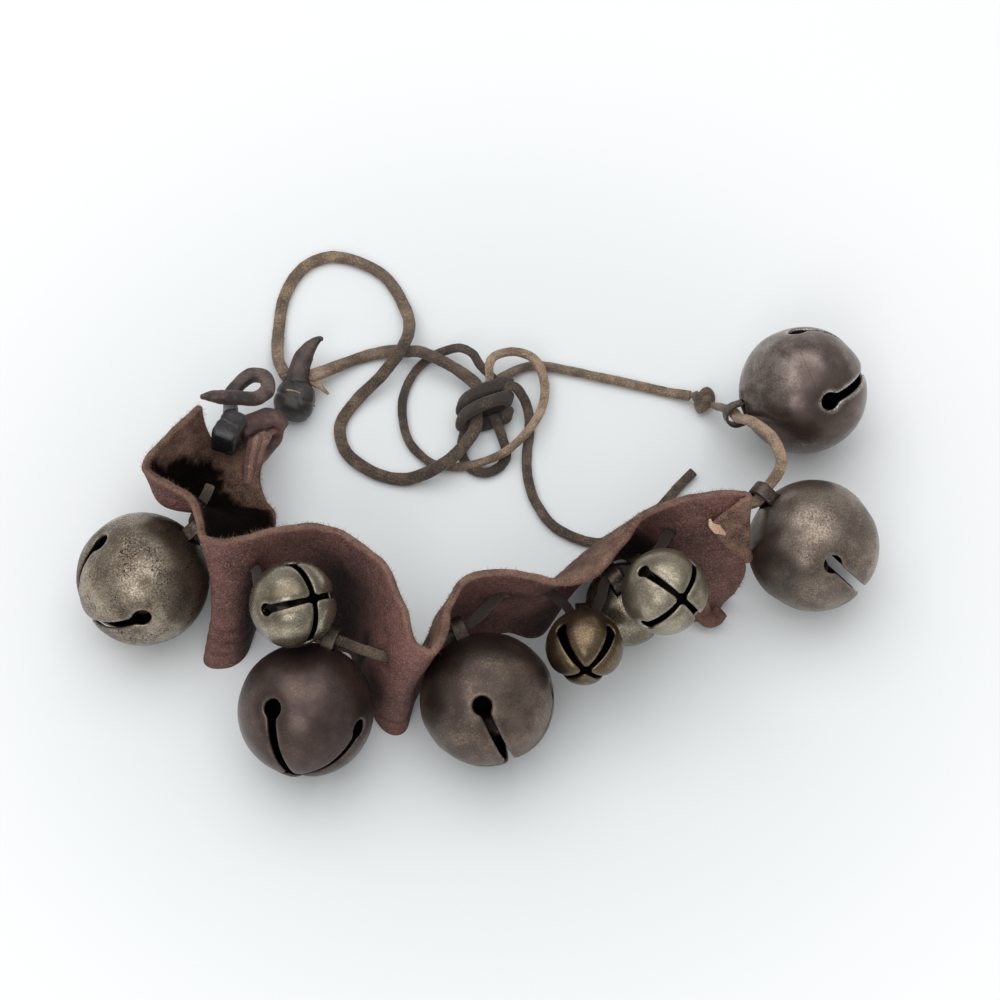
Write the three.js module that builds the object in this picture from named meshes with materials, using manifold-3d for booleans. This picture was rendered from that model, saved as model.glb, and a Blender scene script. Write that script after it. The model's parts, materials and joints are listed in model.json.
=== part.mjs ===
import * as THREE from 'three';
import { mergeVertices } from 'three/addons/utils/BufferGeometryUtils.js';
import Module from 'manifold-3d';

// Leather ankle strap gathered on a suede lace that carries nine slotted bells.
// Millimetres, +Z up, X along the strap, -Y towards the side where the bells hang.

// Large two-part bells
const largeBellDiameter = 28.6;
const largeBellWall = 0.8;
const largeSlotWidth = 2.2;
const largeKeyholeDiameter = 4.6;
const largePelletDiameter = 7;
const seamGap = 0.3;
const lapHeight = 1;
const lapThickness = 0.5;

// Small folded bells
const smallBellDiameter = 18.8;
const brassBellDiameter = 16.6;
const smallBellWall = 0.6;
const smallSlotWidth = 1.5;
const smallKeyholeDiameter = 2.9;
const smallPelletDiameter = 5;

// Keyholes sit this far round a bell from the middle of its mouth, in degrees
const largeKeyholeAngle = 79;
const silverKeyholeAngle = 74;
const brassKeyholeAngle = 86;

// Running and seating clearance between separate pieces, and between bells that lean together
const clearance = 0.3;
const restGap = 0.45;

// Strap and suede lace
const strapThickness = 1.6;
const laceWidth = 2.8;
const laceThickness = 2;

// Slip knot wound about the strands of the lace
const windingDiameter = 2.3;
const windingTurns = 2;
const windingPitch = 3.6;
const windingHalfWidth = 5.6;
const windingHalfHeight = 3;

// Dark leather thong and its toggle
const thongWidth = 3.6;
const thongThickness = 3;
const toggleNeckDiameter = 4.2;
const toggleTipDiameter = 1;

// Shank: a metal strip bent into an eye for the lace, its legs clinched inside the crown
const eyePlay = 0.55;
const eyeInnerDiameter = laceWidth + 2 * eyePlay;
const eyeLift = laceWidth / 2 + clearance;
const shankThickness = 0.7;
const shankWidth = 3;
const clinchLength = 1.4;

// Facets round a bell, across its rings, and along soft pieces
const largeSegments = 16;
const largeRings = 4;
const smallSegments = 14;
const smallRings = 3;
const strapStepsPerSpan = 2;
const strapRows = 4;
const cordSides = 8;
const windingSides = 6;
const stepsPerTurn = 24;
const tipSteps = 6;
const keyholeSides = 8;
const eyeSteps = 6;
const pelletDetail = 1;
const knotDetail = 2;

const wasm = await Module();
wasm.setup();

const degrees = Math.PI / 180;
const up = new THREE.Vector3(0, 0, 1);
const point = (x, y, z) => new THREE.Vector3(x, y, z);

// Solids for cutting and joining

function toSolid(geometry) {
  const bare = geometry.clone();
  bare.deleteAttribute('normal');
  bare.deleteAttribute('uv');
  const merged = mergeVertices(bare, 1e-4);
  const mesh = new wasm.Mesh({
    numProp: 3,
    vertProperties: new Float32Array(merged.attributes.position.array),
    triVerts: new Uint32Array(merged.index.array),
  });
  return new wasm.Manifold(mesh);
}

function toGeometry(solid) {
  const mesh = solid.getMesh();
  const geometry = new THREE.BufferGeometry();
  geometry.setAttribute('position', new THREE.BufferAttribute(mesh.vertProperties, 3));
  geometry.setIndex(new THREE.BufferAttribute(mesh.triVerts, 1));
  return geometry;
}

function cut(geometry, ...tools) {
  let solid = toSolid(geometry);
  for (const tool of tools) {
    solid = solid.subtract(toSolid(tool));
  }
  return toGeometry(solid);
}

// Materials

const paint = (color, roughness, metalness) =>
  new THREE.MeshStandardMaterial({ color, roughness, metalness });

const brownPatina = paint('#594740', 0.45, 0.8);
const wornSilver = paint('#877e71', 0.45, 0.9);
const smallSilver = paint('#a79e8c', 0.4, 0.9);
const smallBrass = paint('#87735d', 0.4, 0.9);
const shankMetal = paint('#6a5e56', 0.5, 0.9);
const pelletSteel = paint('#55504c', 0.5, 0.9);
const strapLeather = paint('#6b4e4a', 0.8, 0);
const suede = paint('#6b5848', 0.95, 0);
const darkLeather = paint('#37302f', 0.6, 0);

const nodes = [];

function addNode(parent, name, geometry, material) {
  const mesh = new THREE.Mesh(geometry, material);
  mesh.name = name;
  parent.add(mesh);
  nodes.push(mesh);
  return mesh;
}

// Bell pieces, in a frame with the eye up +Z, the mouth down -Z and the lace along X

function arcPoints(radius, fromAngle, toAngle, count) {
  const points = [];
  for (let i = 0; i <= count; i += 1) {
    const angle = (fromAngle + ((toAngle - fromAngle) * i) / count) * degrees;
    points.push(new THREE.Vector2(radius * Math.sin(angle), radius * Math.cos(angle)));
  }
  return points;
}

const onAxis = (height) => new THREE.Vector2(0, height);

function turned(profile, segments) {
  const geometry = new THREE.LatheGeometry(profile, segments);
  geometry.rotateX(Math.PI / 2);
  return geometry;
}

function ball(radius, segments, rings) {
  const arc = arcPoints(radius, 180, 0, 2 * rings).slice(1, -1);
  return turned([onAxis(-radius), ...arc, onAxis(radius)], segments);
}

function slotTools(radius, slotWidth, keyholeDiameter, keyholeAngle, turn) {
  const keyholeHeight = -radius * Math.cos(keyholeAngle * degrees);
  const reach = 2 * radius + 2;
  const depth = radius + 1 + keyholeHeight;
  const tools = [];
  for (const quarter of [0, Math.PI / 2]) {
    const slot = new THREE.BoxGeometry(slotWidth, reach, depth);
    slot.translate(0, 0, keyholeHeight - depth / 2);
    const keyhole = new THREE.CylinderGeometry(keyholeDiameter / 2, keyholeDiameter / 2, reach, keyholeSides);
    keyhole.translate(0, 0, keyholeHeight);
    const heading = quarter + turn * degrees;
    tools.push(slot.rotateZ(heading), keyhole.rotateZ(heading));
  }
  return tools;
}

function legSlot(radius) {
  const span = eyeInnerDiameter + 2 * shankThickness + 2 * clearance;
  const slot = new THREE.BoxGeometry(shankWidth + 2 * clearance, span, radius);
  return slot.translate(0, 0, radius);
}

function crownHalf(radius, wall) {
  const inner = radius - wall;
  const outerArc = arcPoints(radius, 90, 0, largeRings).slice(1, -1);
  const innerArc = arcPoints(inner, 0, 90, largeRings).slice(1, -1);
  const rim = seamGap / 2;
  const profile = [
    onAxis(inner),
    ...innerArc,
    new THREE.Vector2(inner, rim),
    new THREE.Vector2(radius, rim),
    ...outerArc,
    onAxis(radius),
  ];
  return cut(turned(profile, largeSegments), legSlot(radius));
}

function mouthHalf(radius, wall, turn) {
  const inner = radius - wall;
  const rim = -seamGap / 2;
  const ringAngle = (90 / largeRings) * degrees;
  const lapOuter = inner - clearance - lapHeight * Math.tan(ringAngle / 2);
  const lapInner = lapOuter - lapThickness;
  const shelf = rim - lapHeight;
  const outerArc = arcPoints(radius, 180, 90, largeRings).slice(1, -1);
  const innerArc = arcPoints(inner, 90, 180, largeRings).slice(1, -1);
  const profile = [
    onAxis(-radius),
    ...outerArc,
    new THREE.Vector2(radius, rim),
    new THREE.Vector2(lapOuter, rim),
    new THREE.Vector2(lapOuter, lapHeight),
    new THREE.Vector2(lapInner, lapHeight),
    new THREE.Vector2(lapInner, shelf),
    new THREE.Vector2(Math.sqrt(inner * inner - shelf * shelf), shelf),
    ...innerArc,
    onAxis(-inner),
  ];
  const slots = slotTools(radius, largeSlotWidth, largeKeyholeDiameter, largeKeyholeAngle, turn);
  return cut(turned(profile, largeSegments), ...slots);
}

function foldedShell(radius, wall, keyholeAngle, turn) {
  const outer = ball(radius, smallSegments, smallRings);
  const inner = ball(radius - wall, smallSegments, smallRings);
  const slots = slotTools(radius, smallSlotWidth, smallKeyholeDiameter, keyholeAngle, turn);
  return cut(outer, inner, ...slots, legSlot(radius));
}

// The flat facets of a bell lie inside its true sphere by up to this much
const facetDip = (radius, segments) => radius * (1 - Math.cos(Math.PI / segments) ** 2);

function shank(radius, wall, segments) {
  const eyeRadius = eyeInnerDiameter / 2;
  const outerRadius = eyeRadius + shankThickness;
  const toe = outerRadius + clinchLength;
  const eyeHeight = radius + eyeLift;
  const inner = radius - wall - facetDip(radius, segments);
  const clinchTop = Math.sqrt(inner ** 2 - toe ** 2 - (shankWidth / 2) ** 2) - clearance;
  const clinchBottom = clinchTop - shankThickness;
  const outline = new THREE.Shape();
  outline.moveTo(toe, clinchBottom);
  outline.lineTo(toe, clinchTop);
  outline.lineTo(outerRadius, clinchTop);
  outline.absarc(0, eyeHeight, outerRadius, 0, Math.PI, false);
  outline.lineTo(-outerRadius, clinchTop);
  outline.lineTo(-toe, clinchTop);
  outline.lineTo(-toe, clinchBottom);
  outline.lineTo(-eyeRadius, clinchBottom);
  outline.absarc(0, eyeHeight, eyeRadius, Math.PI, 0, true);
  outline.lineTo(eyeRadius, clinchBottom);
  const strip = new THREE.ExtrudeGeometry(outline, {
    depth: shankWidth,
    bevelEnabled: false,
    curveSegments: eyeSteps,
  });
  strip.translate(0, 0, -shankWidth / 2);
  strip.rotateX(Math.PI / 2);
  strip.rotateZ(Math.PI / 2);
  return strip;
}

function pellet(diameter) {
  return new THREE.IcosahedronGeometry(diameter / 2, pelletDetail);
}

// Bells: eye is where the lace passes through, mouth points from the eye to the slots,
// laceRun is the way of the lace in the eye, turn is the roll of the slots in degrees

const largeRadius = largeBellDiameter / 2;
const smallRadius = smallBellDiameter / 2;
const brassRadius = brassBellDiameter / 2;

function bellSpec(name, radius, eye, mouth, laceRun, turn) {
  const towardMouth = mouth.normalize();
  const centre = eye.clone().addScaledVector(towardMouth, radius + eyeLift);
  const run = laceRun.projectOnPlane(towardMouth).normalize();
  return { name, radius, eye, mouth: towardMouth, laceRun: run, centre, turn };
}

// A bell that leans on its neighbour, in a direction from the middle of the neighbour
function leaningBell(name, radius, neighbour, direction, mouth, laceRun, turn) {
  const distance = neighbour.radius + radius + restGap;
  const centre = neighbour.centre.clone().addScaledVector(direction.normalize(), distance);
  const eye = centre.addScaledVector(mouth.normalize(), -(radius + eyeLift));
  return bellSpec(name, radius, eye, mouth, laceRun, turn);
}

const bell1 = bellSpec('bell_1', largeRadius, point(-63.9, -18, 21), point(-0.75, -0.507, -0.42),
  point(0.59, -0.8, 0), 49);
const bell2 = bellSpec('bell_2', largeRadius, point(-34.9, -42.9, 21.1), point(-0.335, -0.84, -0.42),
  point(0.9, -0.43, 0), 74);
const bell3 = bellSpec('bell_3', largeRadius, point(-8.9, -40.6, 20.3), point(0.394, -0.835, -0.374),
  point(0.89, 0.46, 0), 73);
const bell4 = bellSpec('bell_4', largeRadius, point(51.8, 14.5, 12.8), point(0.938, 0.334, 0.095),
  point(-0.45, 0.6, -0.65), 5);
const bell5 = bellSpec('bell_5', largeRadius, point(55.8, -9.8, 21.9), point(0.701, -0.529, -0.479),
  point(0.62, 0.78, 0), 67);
const bell6 = leaningBell('bell_6', smallRadius, bell2, point(-0.08, 0.67, 0.74),
  point(0.5, -0.27, 0.82), point(0.75, -0.6, 0), 31);
const bell7 = leaningBell('bell_7', brassRadius, bell3, point(0.87, 0.4, 0.28),
  point(0.01, -0.92, 0.4), point(0.97, 0.2, 0), 52);
const bell9 = bellSpec('bell_9', smallRadius, point(23.9, -28.2, 20.2), point(0.3, -0.15, -0.94),
  point(0.8, 0.5, 0.2), 20);
const bell8 = leaningBell('bell_8', smallRadius, bell9, point(0.36, -0.27, 0.9),
  point(0.46, -0.75, 0.47), point(0.85, 0.5, 0.05), 64);

const assembly = new THREE.Group();

function placeBell(bell) {
  const group = new THREE.Group();
  const crownward = bell.mouth.clone().negate();
  const across = crownward.clone().cross(bell.laceRun);
  group.setRotationFromMatrix(new THREE.Matrix4().makeBasis(bell.laceRun, across, crownward));
  group.position.copy(bell.centre);
  assembly.add(group);
  return group;
}

// A pellet lies at the lowest place inside that is clear of the lap and of the clinched legs,
// so it leans towards the mouth in a bell that hangs and in one that stands on its eye
const steepMouth = 0.7;
const hangingLean = 0.16;
const standingLean = 0.4;

function pelletSide(bell) {
  let lean = 0;
  if (bell.mouth.z < 0) {
    lean = hangingLean;
  } else if (bell.mouth.z > steepMouth) {
    lean = standingLean;
  }
  return up.clone().negate().addScaledVector(bell.mouth, lean).normalize();
}

function addPellet(bell, diameter, seatRadius, segments) {
  const drop = seatRadius - facetDip(seatRadius, segments) - diameter / 2 - clearance;
  const mesh = addNode(assembly, `${bell.name}_pellet`, pellet(diameter), pelletSteel);
  mesh.position.copy(bell.centre).addScaledVector(pelletSide(bell), drop);
}

// Where the lap at the seam would be in its way, as in a bell that lies on its side,
// the pellet rests on the lap and not on the wall
function largeSeatRadius(bell) {
  const inner = bell.radius - largeBellWall;
  const lapInner = inner - clearance - lapThickness;
  const pelletRadius = largePelletDiameter / 2;
  const towardMouth = Math.abs(pelletSide(bell).dot(bell.mouth));
  const offSeam = towardMouth * (inner - pelletRadius);
  const offAxis = Math.sqrt(1 - towardMouth ** 2) * (inner - pelletRadius);
  const toLap = Math.hypot(lapInner - offAxis, Math.max(offSeam - lapHeight, 0));
  return toLap < pelletRadius + clearance ? lapInner : inner;
}

function addLargeBell(bell, finish) {
  const group = placeBell(bell);
  addNode(group, `${bell.name}_crown_half`, crownHalf(bell.radius, largeBellWall), finish);
  addNode(group, `${bell.name}_mouth_half`, mouthHalf(bell.radius, largeBellWall, bell.turn), finish);
  addNode(group, `${bell.name}_shank`, shank(bell.radius, largeBellWall, largeSegments), shankMetal);
  addPellet(bell, largePelletDiameter, largeSeatRadius(bell), largeSegments);
}

function addSmallBell(bell, keyholeAngle, finish) {
  const group = placeBell(bell);
  const shell = foldedShell(bell.radius, smallBellWall, keyholeAngle, bell.turn);
  addNode(group, `${bell.name}_shell`, shell, finish);
  addNode(group, `${bell.name}_shank`, shank(bell.radius, smallBellWall, smallSegments), shankMetal);
  addPellet(bell, smallPelletDiameter, bell.radius - smallBellWall, smallSegments);
}

addLargeBell(bell1, wornSilver);
addLargeBell(bell2, brownPatina);
addLargeBell(bell3, brownPatina);
addLargeBell(bell4, brownPatina);
addLargeBell(bell5, wornSilver);
addSmallBell(bell6, silverKeyholeAngle, smallSilver);
addSmallBell(bell7, brassKeyholeAngle, smallBrass);
addSmallBell(bell8, silverKeyholeAngle, smallSilver);
addSmallBell(bell9, silverKeyholeAngle, smallSilver);

// Soft pieces along routes

function ovalSection(width, thickness, sides) {
  const corners = [];
  for (let i = 0; i < sides; i += 1) {
    const angle = ((i + 0.5) / sides) * 2 * Math.PI;
    corners.push(new THREE.Vector2((thickness / 2) * Math.cos(angle), (width / 2) * Math.sin(angle)));
  }
  return new THREE.Shape(corners);
}

const route = (points) => new THREE.CatmullRomCurve3(points, false, 'centripetal');

function tube(points, width, thickness, spacing) {
  const path = route(points);
  return new THREE.ExtrudeGeometry(ovalSection(width, thickness, cordSides), {
    steps: Math.round(path.getLength() / spacing),
    bevelEnabled: false,
    extrudePath: path,
  });
}

// The lace goes straight through a bell's eye
function throughEye(bell) {
  const guide = shankWidth / 2 + 2 * clearance;
  return [-guide, 0, guide].map((step) => bell.eye.clone().addScaledVector(bell.laceRun, step));
}

const strapLaceRoute = [
  point(-61.8, -8.2, 22.4),
  point(-62.5, -10.8, 22.9),
  point(-64.2, -13.9, 22.2),
  ...throughEye(bell1),
  point(-58.6, -24, 21.4),
  point(-55, -25.6, 22.2),
  point(-51.3, -28, 23.2),
  point(-50.3, -32, 24.2),
  ...throughEye(bell6),
  point(-41.4, -39.6, 20.6),
  ...throughEye(bell2),
  point(-27, -46, 21),
  point(-21, -47.4, 20.8),
  point(-17, -46.2, 20.6),
  ...throughEye(bell3),
  point(-4.4, -37.6, 20.6),
  point(-1.4, -34.4, 20.8),
  point(2.4, -30.6, 20.8),
  point(6.6, -29.6, 20),
  point(10.6, -31.4, 18.6),
  point(14, -34, 17.4),
  ...throughEye(bell7),
  point(21.2, -32.4, 18.6),
  ...throughEye(bell9),
  ...throughEye(bell8),
  point(33.6, -22.4, 21.8),
  point(36, -18.4, 21.9),
  point(40, -14.6, 22),
  point(46, -12.8, 22),
  point(51.4, -12.6, 22.2),
];

// Strap: top edge, bottom edge and the bulge of its middle, from the left end to the right

const strapStations = [
  { top: [-64.6, 9.2, 26], bottom: [-51.7, 4.3, 16], bulge: [-3, -1.5, -6] },
  { top: [-71.9, -1, 29], bottom: [-52.5, -1.8, 14], bulge: [-2.5, -1.5, -6] },
  { top: [-74.6, -7, 30], bottom: [-51.3, -5.6, 11], bulge: [-2, -1.5, -6] },
  { top: [-70.2, -11.6, 31], bottom: [-49.2, -8.5, 8], bulge: [-0.5, 0, -4] },
  { top: [-64.7, -15.9, 32], bottom: [-52, -16, 3], bulge: [1.5, 1, -1] },
  { top: [-62.4, -21, 32], bottom: [-57.5, -26, -0.4], bulge: [1.6, 0, 0] },
  { top: [-61.3, -25, 32], bottom: [-63.2, -38, -0.4], bulge: [2, 0, 0] },
  { top: [-57, -25.8, 32], bottom: [-59.4, -40, -0.4], bulge: [0.6, 0, 0] },
  { top: [-51.7, -24.8, 32], bottom: [-55.2, -37.2, -0.4], bulge: [0, 0, 0] },
  { top: [-46, -23, 32], bottom: [-51, -27, -0.4], bulge: [0, 0, 0] },
  { top: [-39, -22.6, 32], bottom: [-42, -26, -0.4], bulge: [0, 0, 0] },
  { top: [-31.1, -25, 32], bottom: [-33, -31, -0.4], bulge: [0, 0, 0] },
  { top: [-23.7, -32, 32], bottom: [-28, -40, -0.4], bulge: [-0.8, 0, 0] },
  { top: [-19.6, -41.2, 32], bottom: [-27.3, -47.9, -0.4], bulge: [-2.4, 0, 0] },
  { top: [-17.8, -47.9, 30.5], bottom: [-24.2, -54, -0.4], bulge: [-2.4, 0, 0] },
  { top: [-13.8, -50.4, 30], bottom: [-20.9, -54.7, -0.4], bulge: [-1.6, 0.5, 0] },
  { top: [-10.9, -45.5, 30.5], bottom: [-19, -48, -0.4], bulge: [-2, 1, 0] },
  { top: [-10.4, -39.8, 31.5], bottom: [-15, -40.5, -0.4], bulge: [-1, 1, 0] },
  { top: [-6.6, -34.2, 32], bottom: [-9, -34, -0.4], bulge: [0, 1, 0] },
  { top: [2.1, -33, 32], bottom: [0, -31, -0.4], bulge: [0, 0, 0] },
  { top: [11.5, -34.8, 31], bottom: [6, -27.5, -0.4], bulge: [-0.6, 1, 0] },
  { top: [19.4, -32.3, 29.5], bottom: [12, -23, -0.4], bulge: [-1.8, 2.4, 0] },
  { top: [26, -23.9, 29.5], bottom: [19.5, -18, -0.4], bulge: [-1.8, 2.4, 0] },
  { top: [30.8, -18.5, 31], bottom: [28, -14, -0.4], bulge: [-0.6, 1, 0] },
  { top: [39.6, -16, 32], bottom: [37, -27, -0.4], bulge: [0, 0, 0] },
  { top: [45.5, -15, 32.5], bottom: [44, -28.5, -0.4], bulge: [0, -1, 0] },
  { top: [50.7, -15, 32.5], bottom: [51, -24, -0.4], bulge: [0, -1.5, 0] },
];

const stationCurve = (edge) =>
  new THREE.CatmullRomCurve3(strapStations.map((station) => point(...station[edge])), false, 'catmullrom');

function strapSurface() {
  const topEdge = stationCurve('top');
  const bottomEdge = stationCurve('bottom');
  const bulgeAlong = stationCurve('bulge');
  return (along, across) => {
    const spot = bottomEdge.getPoint(along).lerp(topEdge.getPoint(along), across);
    return spot.addScaledVector(bulgeAlong.getPoint(along), 4 * across * (1 - across));
  };
}

function strapSheet() {
  const surface = strapSurface();
  const columns = (strapStations.length - 1) * strapStepsPerSpan;
  const nudge = 0.5;
  const positions = [];
  for (let column = 0; column <= columns; column += 1) {
    for (let row = 0; row <= strapRows; row += 1) {
      const along = column / columns;
      const across = row / strapRows;
      const alongStep = surface(Math.min(along + nudge / columns, 1), across)
        .sub(surface(Math.max(along - nudge / columns, 0), across));
      const acrossStep = surface(along, Math.min(across + nudge / strapRows, 1))
        .sub(surface(along, Math.max(across - nudge / strapRows, 0)));
      const outward = alongStep.cross(acrossStep).normalize();
      const spot = surface(along, across);
      for (const side of [0.5, -0.5]) {
        const skin = spot.clone().addScaledVector(outward, side * strapThickness);
        positions.push(skin.x, skin.y, skin.z);
      }
    }
  }
  const corner = ([column, row, side]) => 2 * (column * (strapRows + 1) + row) + side;
  const triangles = [];
  const quad = (...spots) => {
    const [a, b, c, d] = spots.map(corner);
    triangles.push(a, b, c, a, c, d);
  };
  const front = 0;
  const back = 1;
  const top = strapRows;
  for (let column = 0; column < columns; column += 1) {
    const next = column + 1;
    for (let row = 0; row < strapRows; row += 1) {
      const above = row + 1;
      quad([column, row, front], [next, row, front], [next, above, front], [column, above, front]);
      quad([column, row, back], [column, above, back], [next, above, back], [next, row, back]);
    }
    quad([column, 0, back], [next, 0, back], [next, 0, front], [column, 0, front]);
    quad([column, top, front], [next, top, front], [next, top, back], [column, top, back]);
  }
  for (let row = 0; row < strapRows; row += 1) {
    const above = row + 1;
    quad([0, row, back], [0, row, front], [0, above, front], [0, above, back]);
    quad([columns, row, front], [columns, row, back], [columns, above, back], [columns, above, front]);
  }
  const geometry = new THREE.BufferGeometry();
  geometry.setAttribute('position', new THREE.Float32BufferAttribute(positions, 3));
  geometry.setIndex(triangles);
  return geometry;
}

const laceStep = 2.5 * laceWidth;
const heldLaceStep = 1.1 * laceWidth;
const thongStep = 0.9 * thongWidth;

// Dark thong at the left end: a loop, and a hitch that goes up through the strap to the knot

const thongLoopRoute = [
  point(-64.4, 12.6, 24.2),
  point(-61.6, 13.6, 22.6),
  point(-57.6, 14.7, 20),
  point(-53.7, 16.3, 17),
  point(-51.2, 20, 14),
  point(-52, 24, 12.5),
  point(-55, 25.2, 11.5),
  point(-58, 23.2, 11),
  point(-59.4, 19.6, 11.5),
  point(-59.2, 15.4, 13.6),
  point(-58.8, 12.4, 16.6),
];
const thongHitchRoute = [
  point(-55.8, 10.6, 18.4),
  point(-52.8, 13.8, 14.3),
  point(-49.4, 16.6, 10.4),
  point(-46.4, 16.5, 7.5),
  point(-46.4, 11.4, 6.6),
  point(-49, 7, 6.8),
  point(-52.6, 3.4, 8.4),
  point(-54.8, 1.6, 12.4),
  point(-55.8, 2.2, 15.8),
];
const thongKnotCentre = point(-58.5, 7.5, 19.9);
const thongKnotSize = point(7.2, 8.2, 7.4);
const toggleKnotCentre = point(-45.8, 21.6, 4.4);
const toggleKnotSize = point(8.6, 8.4, 8.4);
const toggleTipRoute = [
  point(-45.5, 26, 5.6),
  point(-45, 30.4, 7),
  point(-43.4, 33.8, 7.8),
  point(-40.4, 36.2, 8.8),
];

function lump(size) {
  const geometry = new THREE.IcosahedronGeometry(0.5, knotDetail);
  return geometry.scale(size.x, size.y, size.z);
}

// A round tip that narrows along its route
function taperedTip(points, startDiameter, endDiameter) {
  const path = route(points);
  const steps = tipSteps;
  const sides = cordSides;
  const frames = path.computeFrenetFrames(steps, false);
  const positions = [];
  for (let step = 0; step <= steps; step += 1) {
    const share = step / steps;
    const radius = THREE.MathUtils.lerp(startDiameter, endDiameter, share) / 2;
    const middle = path.getPointAt(share);
    for (let side = 0; side < sides; side += 1) {
      const angle = (side / sides) * 2 * Math.PI;
      const rim = middle.clone()
        .addScaledVector(frames.normals[step], radius * Math.cos(angle))
        .addScaledVector(frames.binormals[step], radius * Math.sin(angle));
      positions.push(rim.x, rim.y, rim.z);
    }
  }
  const start = path.getPointAt(0);
  const end = path.getPointAt(1);
  positions.push(start.x, start.y, start.z, end.x, end.y, end.z);
  const startHub = sides * (steps + 1);
  const endHub = startHub + 1;
  const triangles = [];
  for (let side = 0; side < sides; side += 1) {
    const next = (side + 1) % sides;
    for (let step = 0; step < steps; step += 1) {
      const here = step * sides;
      const ahead = here + sides;
      triangles.push(here + side, here + next, ahead + next);
      triangles.push(here + side, ahead + next, ahead + side);
    }
    triangles.push(startHub, next, side);
    triangles.push(endHub, steps * sides + side, steps * sides + next);
  }
  const geometry = new THREE.BufferGeometry();
  geometry.setAttribute('position', new THREE.Float32BufferAttribute(positions, 3));
  geometry.setIndex(triangles);
  return geometry;
}

// Height of the middle of a lace that lies on the table
const tableGap = 0.05;
const laceLie = laceWidth / 2 + tableGap;

// Free lace, from the strap's right end past two bells to the slip knot and the toggle

const bellRunRoute = [
  point(52.1, -12.3, 22.3),
  ...throughEye(bell5),
  point(60.2, -2.4, 21.8),
  point(58.6, 4.6, 20.6),
  point(54.4, 10, 18.2),
  ...throughEye(bell4),
  point(49.8, 19.2, 7.4),
  point(48.2, 21.8, 3.8),
];
const laceKnotCentre = point(45.6, 23.8, 2.9);
const laceKnotSize = point(5.8, 5.2, 5.2);
const longRunRoute = [
  point(42.7, 25, 2.4),
  point(38, 26.6, laceLie),
  point(30, 28.7, laceLie),
  point(22.6, 30.6, laceLie),
  point(13.6, 32.7, laceLie),
  point(8.6, 33.6, laceLie),
  point(4.6, 32.8, laceLie),
  point(1, 30, 2.8),
  point(-1.4, 26.6, 4.3),
  point(-1.6, 23.2, 4.3),
];
const toggleRunRoute = [
  point(-42.4, 28.2, 5.8),
  point(-37.6, 32, 3),
  point(-31.8, 35.6, laceLie),
  point(-25.4, 37, 1.8),
  point(-21.4, 36.4, 2.9),
  point(-17.8, 35, 4.9),
  point(-12, 32.2, 4.6),
  point(-7.4, 29, 4.2),
  point(-5.3, 26.6, 4.3),
  point(-5.3, 23.2, 4.3),
];
const bigLoopRoute = [
  point(-48.3, 28.6, 6.2),
  point(-50.2, 34, 3.6),
  point(-50.6, 42, laceLie),
  point(-49.6, 51.4, laceLie),
  point(-46.4, 58.4, laceLie),
  point(-41.6, 62, laceLie),
  point(-35.6, 62.2, laceLie),
  point(-27, 57.6, laceLie),
  point(-22.2, 49.6, 1.6),
  point(-20.6, 42.4, 4.4),
  point(-21.6, 36.4, 6.2),
  point(-26.4, 29.8, 4),
  point(-32.6, 24, 1.6),
  point(-35.8, 18, laceLie),
  point(-34.4, 11.6, laceLie),
  point(-28.4, 6.4, laceLie),
  point(-20.6, 4.4, 1.6),
  point(-12.4, 6.6, 4.8),
  point(-7.8, 11.4, 4.8),
  point(-5.3, 16.4, 4.3),
  point(-5.3, 19.4, 4.3),
];
const ringLoopRoute = [
  point(-1.9, 26.6, 8),
  point(-2.4, 29.4, 8.2),
  point(-1.2, 33, 6.6),
  point(3.4, 35, 5),
  point(7.8, 33.2, 4.8),
  point(10, 28.4, 3.4),
  point(9.6, 22.2, 3.4),
  point(6.6, 15.4, 4.7),
  point(1.6, 10.4, 3.9),
  point(-3.6, 8.4, 2.4),
  point(-9.4, 7.6, laceLie),
  point(-15.4, 8.8, laceLie),
  point(-20, 13.4, laceLie),
  point(-21.8, 19.4, laceLie),
  point(-21.6, 26.4, laceLie),
  point(-18.6, 32.8, laceLie),
  point(-14.6, 36, 2),
  point(-9.4, 36.2, 4.6),
  point(-6.4, 33.4, 7.2),
  point(-6, 29.6, 8.2),
  point(-5.4, 26.6, 8),
];
const tailRoute = [
  point(4.6, 24.6, 5.4),
  point(6.6, 21.6, 2.4),
  point(6.4, 17, laceLie),
  point(6, 11, laceLie),
  point(6.2, 5, laceLie),
  point(7.8, -1, laceLie),
  point(11.4, -6.6, laceLie),
  point(16.6, -10, laceLie),
  point(22.4, -11.2, laceLie),
  point(29, -8.6, laceLie),
  point(34.6, -3.4, laceLie),
  point(39.2, 2.2, laceLie),
  point(42.8, 6.2, laceLie),
];

// Slip knot: two turns wound about the strands, worked out turn by turn

const windingStart = point(-3.4, 25, 4.3);

function windingPoints() {
  const points = [];
  const count = windingTurns * stepsPerTurn;
  for (let i = 0; i <= count; i += 1) {
    const turns = i / stepsPerTurn;
    const angle = turns * 2 * Math.PI;
    points.push(point(
      windingStart.x + windingHalfWidth * Math.cos(angle),
      windingStart.y - windingPitch * turns,
      windingStart.z + windingHalfHeight * Math.sin(angle),
    ));
  }
  return points;
}

function winding() {
  const path = route(windingPoints());
  return new THREE.ExtrudeGeometry(ovalSection(windingDiameter, windingDiameter, windingSides), {
    steps: windingTurns * stepsPerTurn,
    bevelEnabled: false,
    extrudePath: path,
  });
}

// Least gap between turns of the winding, on points at least half a turn apart
function leastSelfGap() {
  const points = windingPoints();
  let least = Infinity;
  for (let i = 0; i < points.length; i += 1) {
    for (let j = i + stepsPerTurn / 2; j < points.length; j += 1) {
      least = Math.min(least, points[i].distanceTo(points[j]) - windingDiameter);
    }
  }
  return least;
}

console.log(`least gap between turns of the slip knot: ${leastSelfGap().toFixed(2)} mm`);

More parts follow.
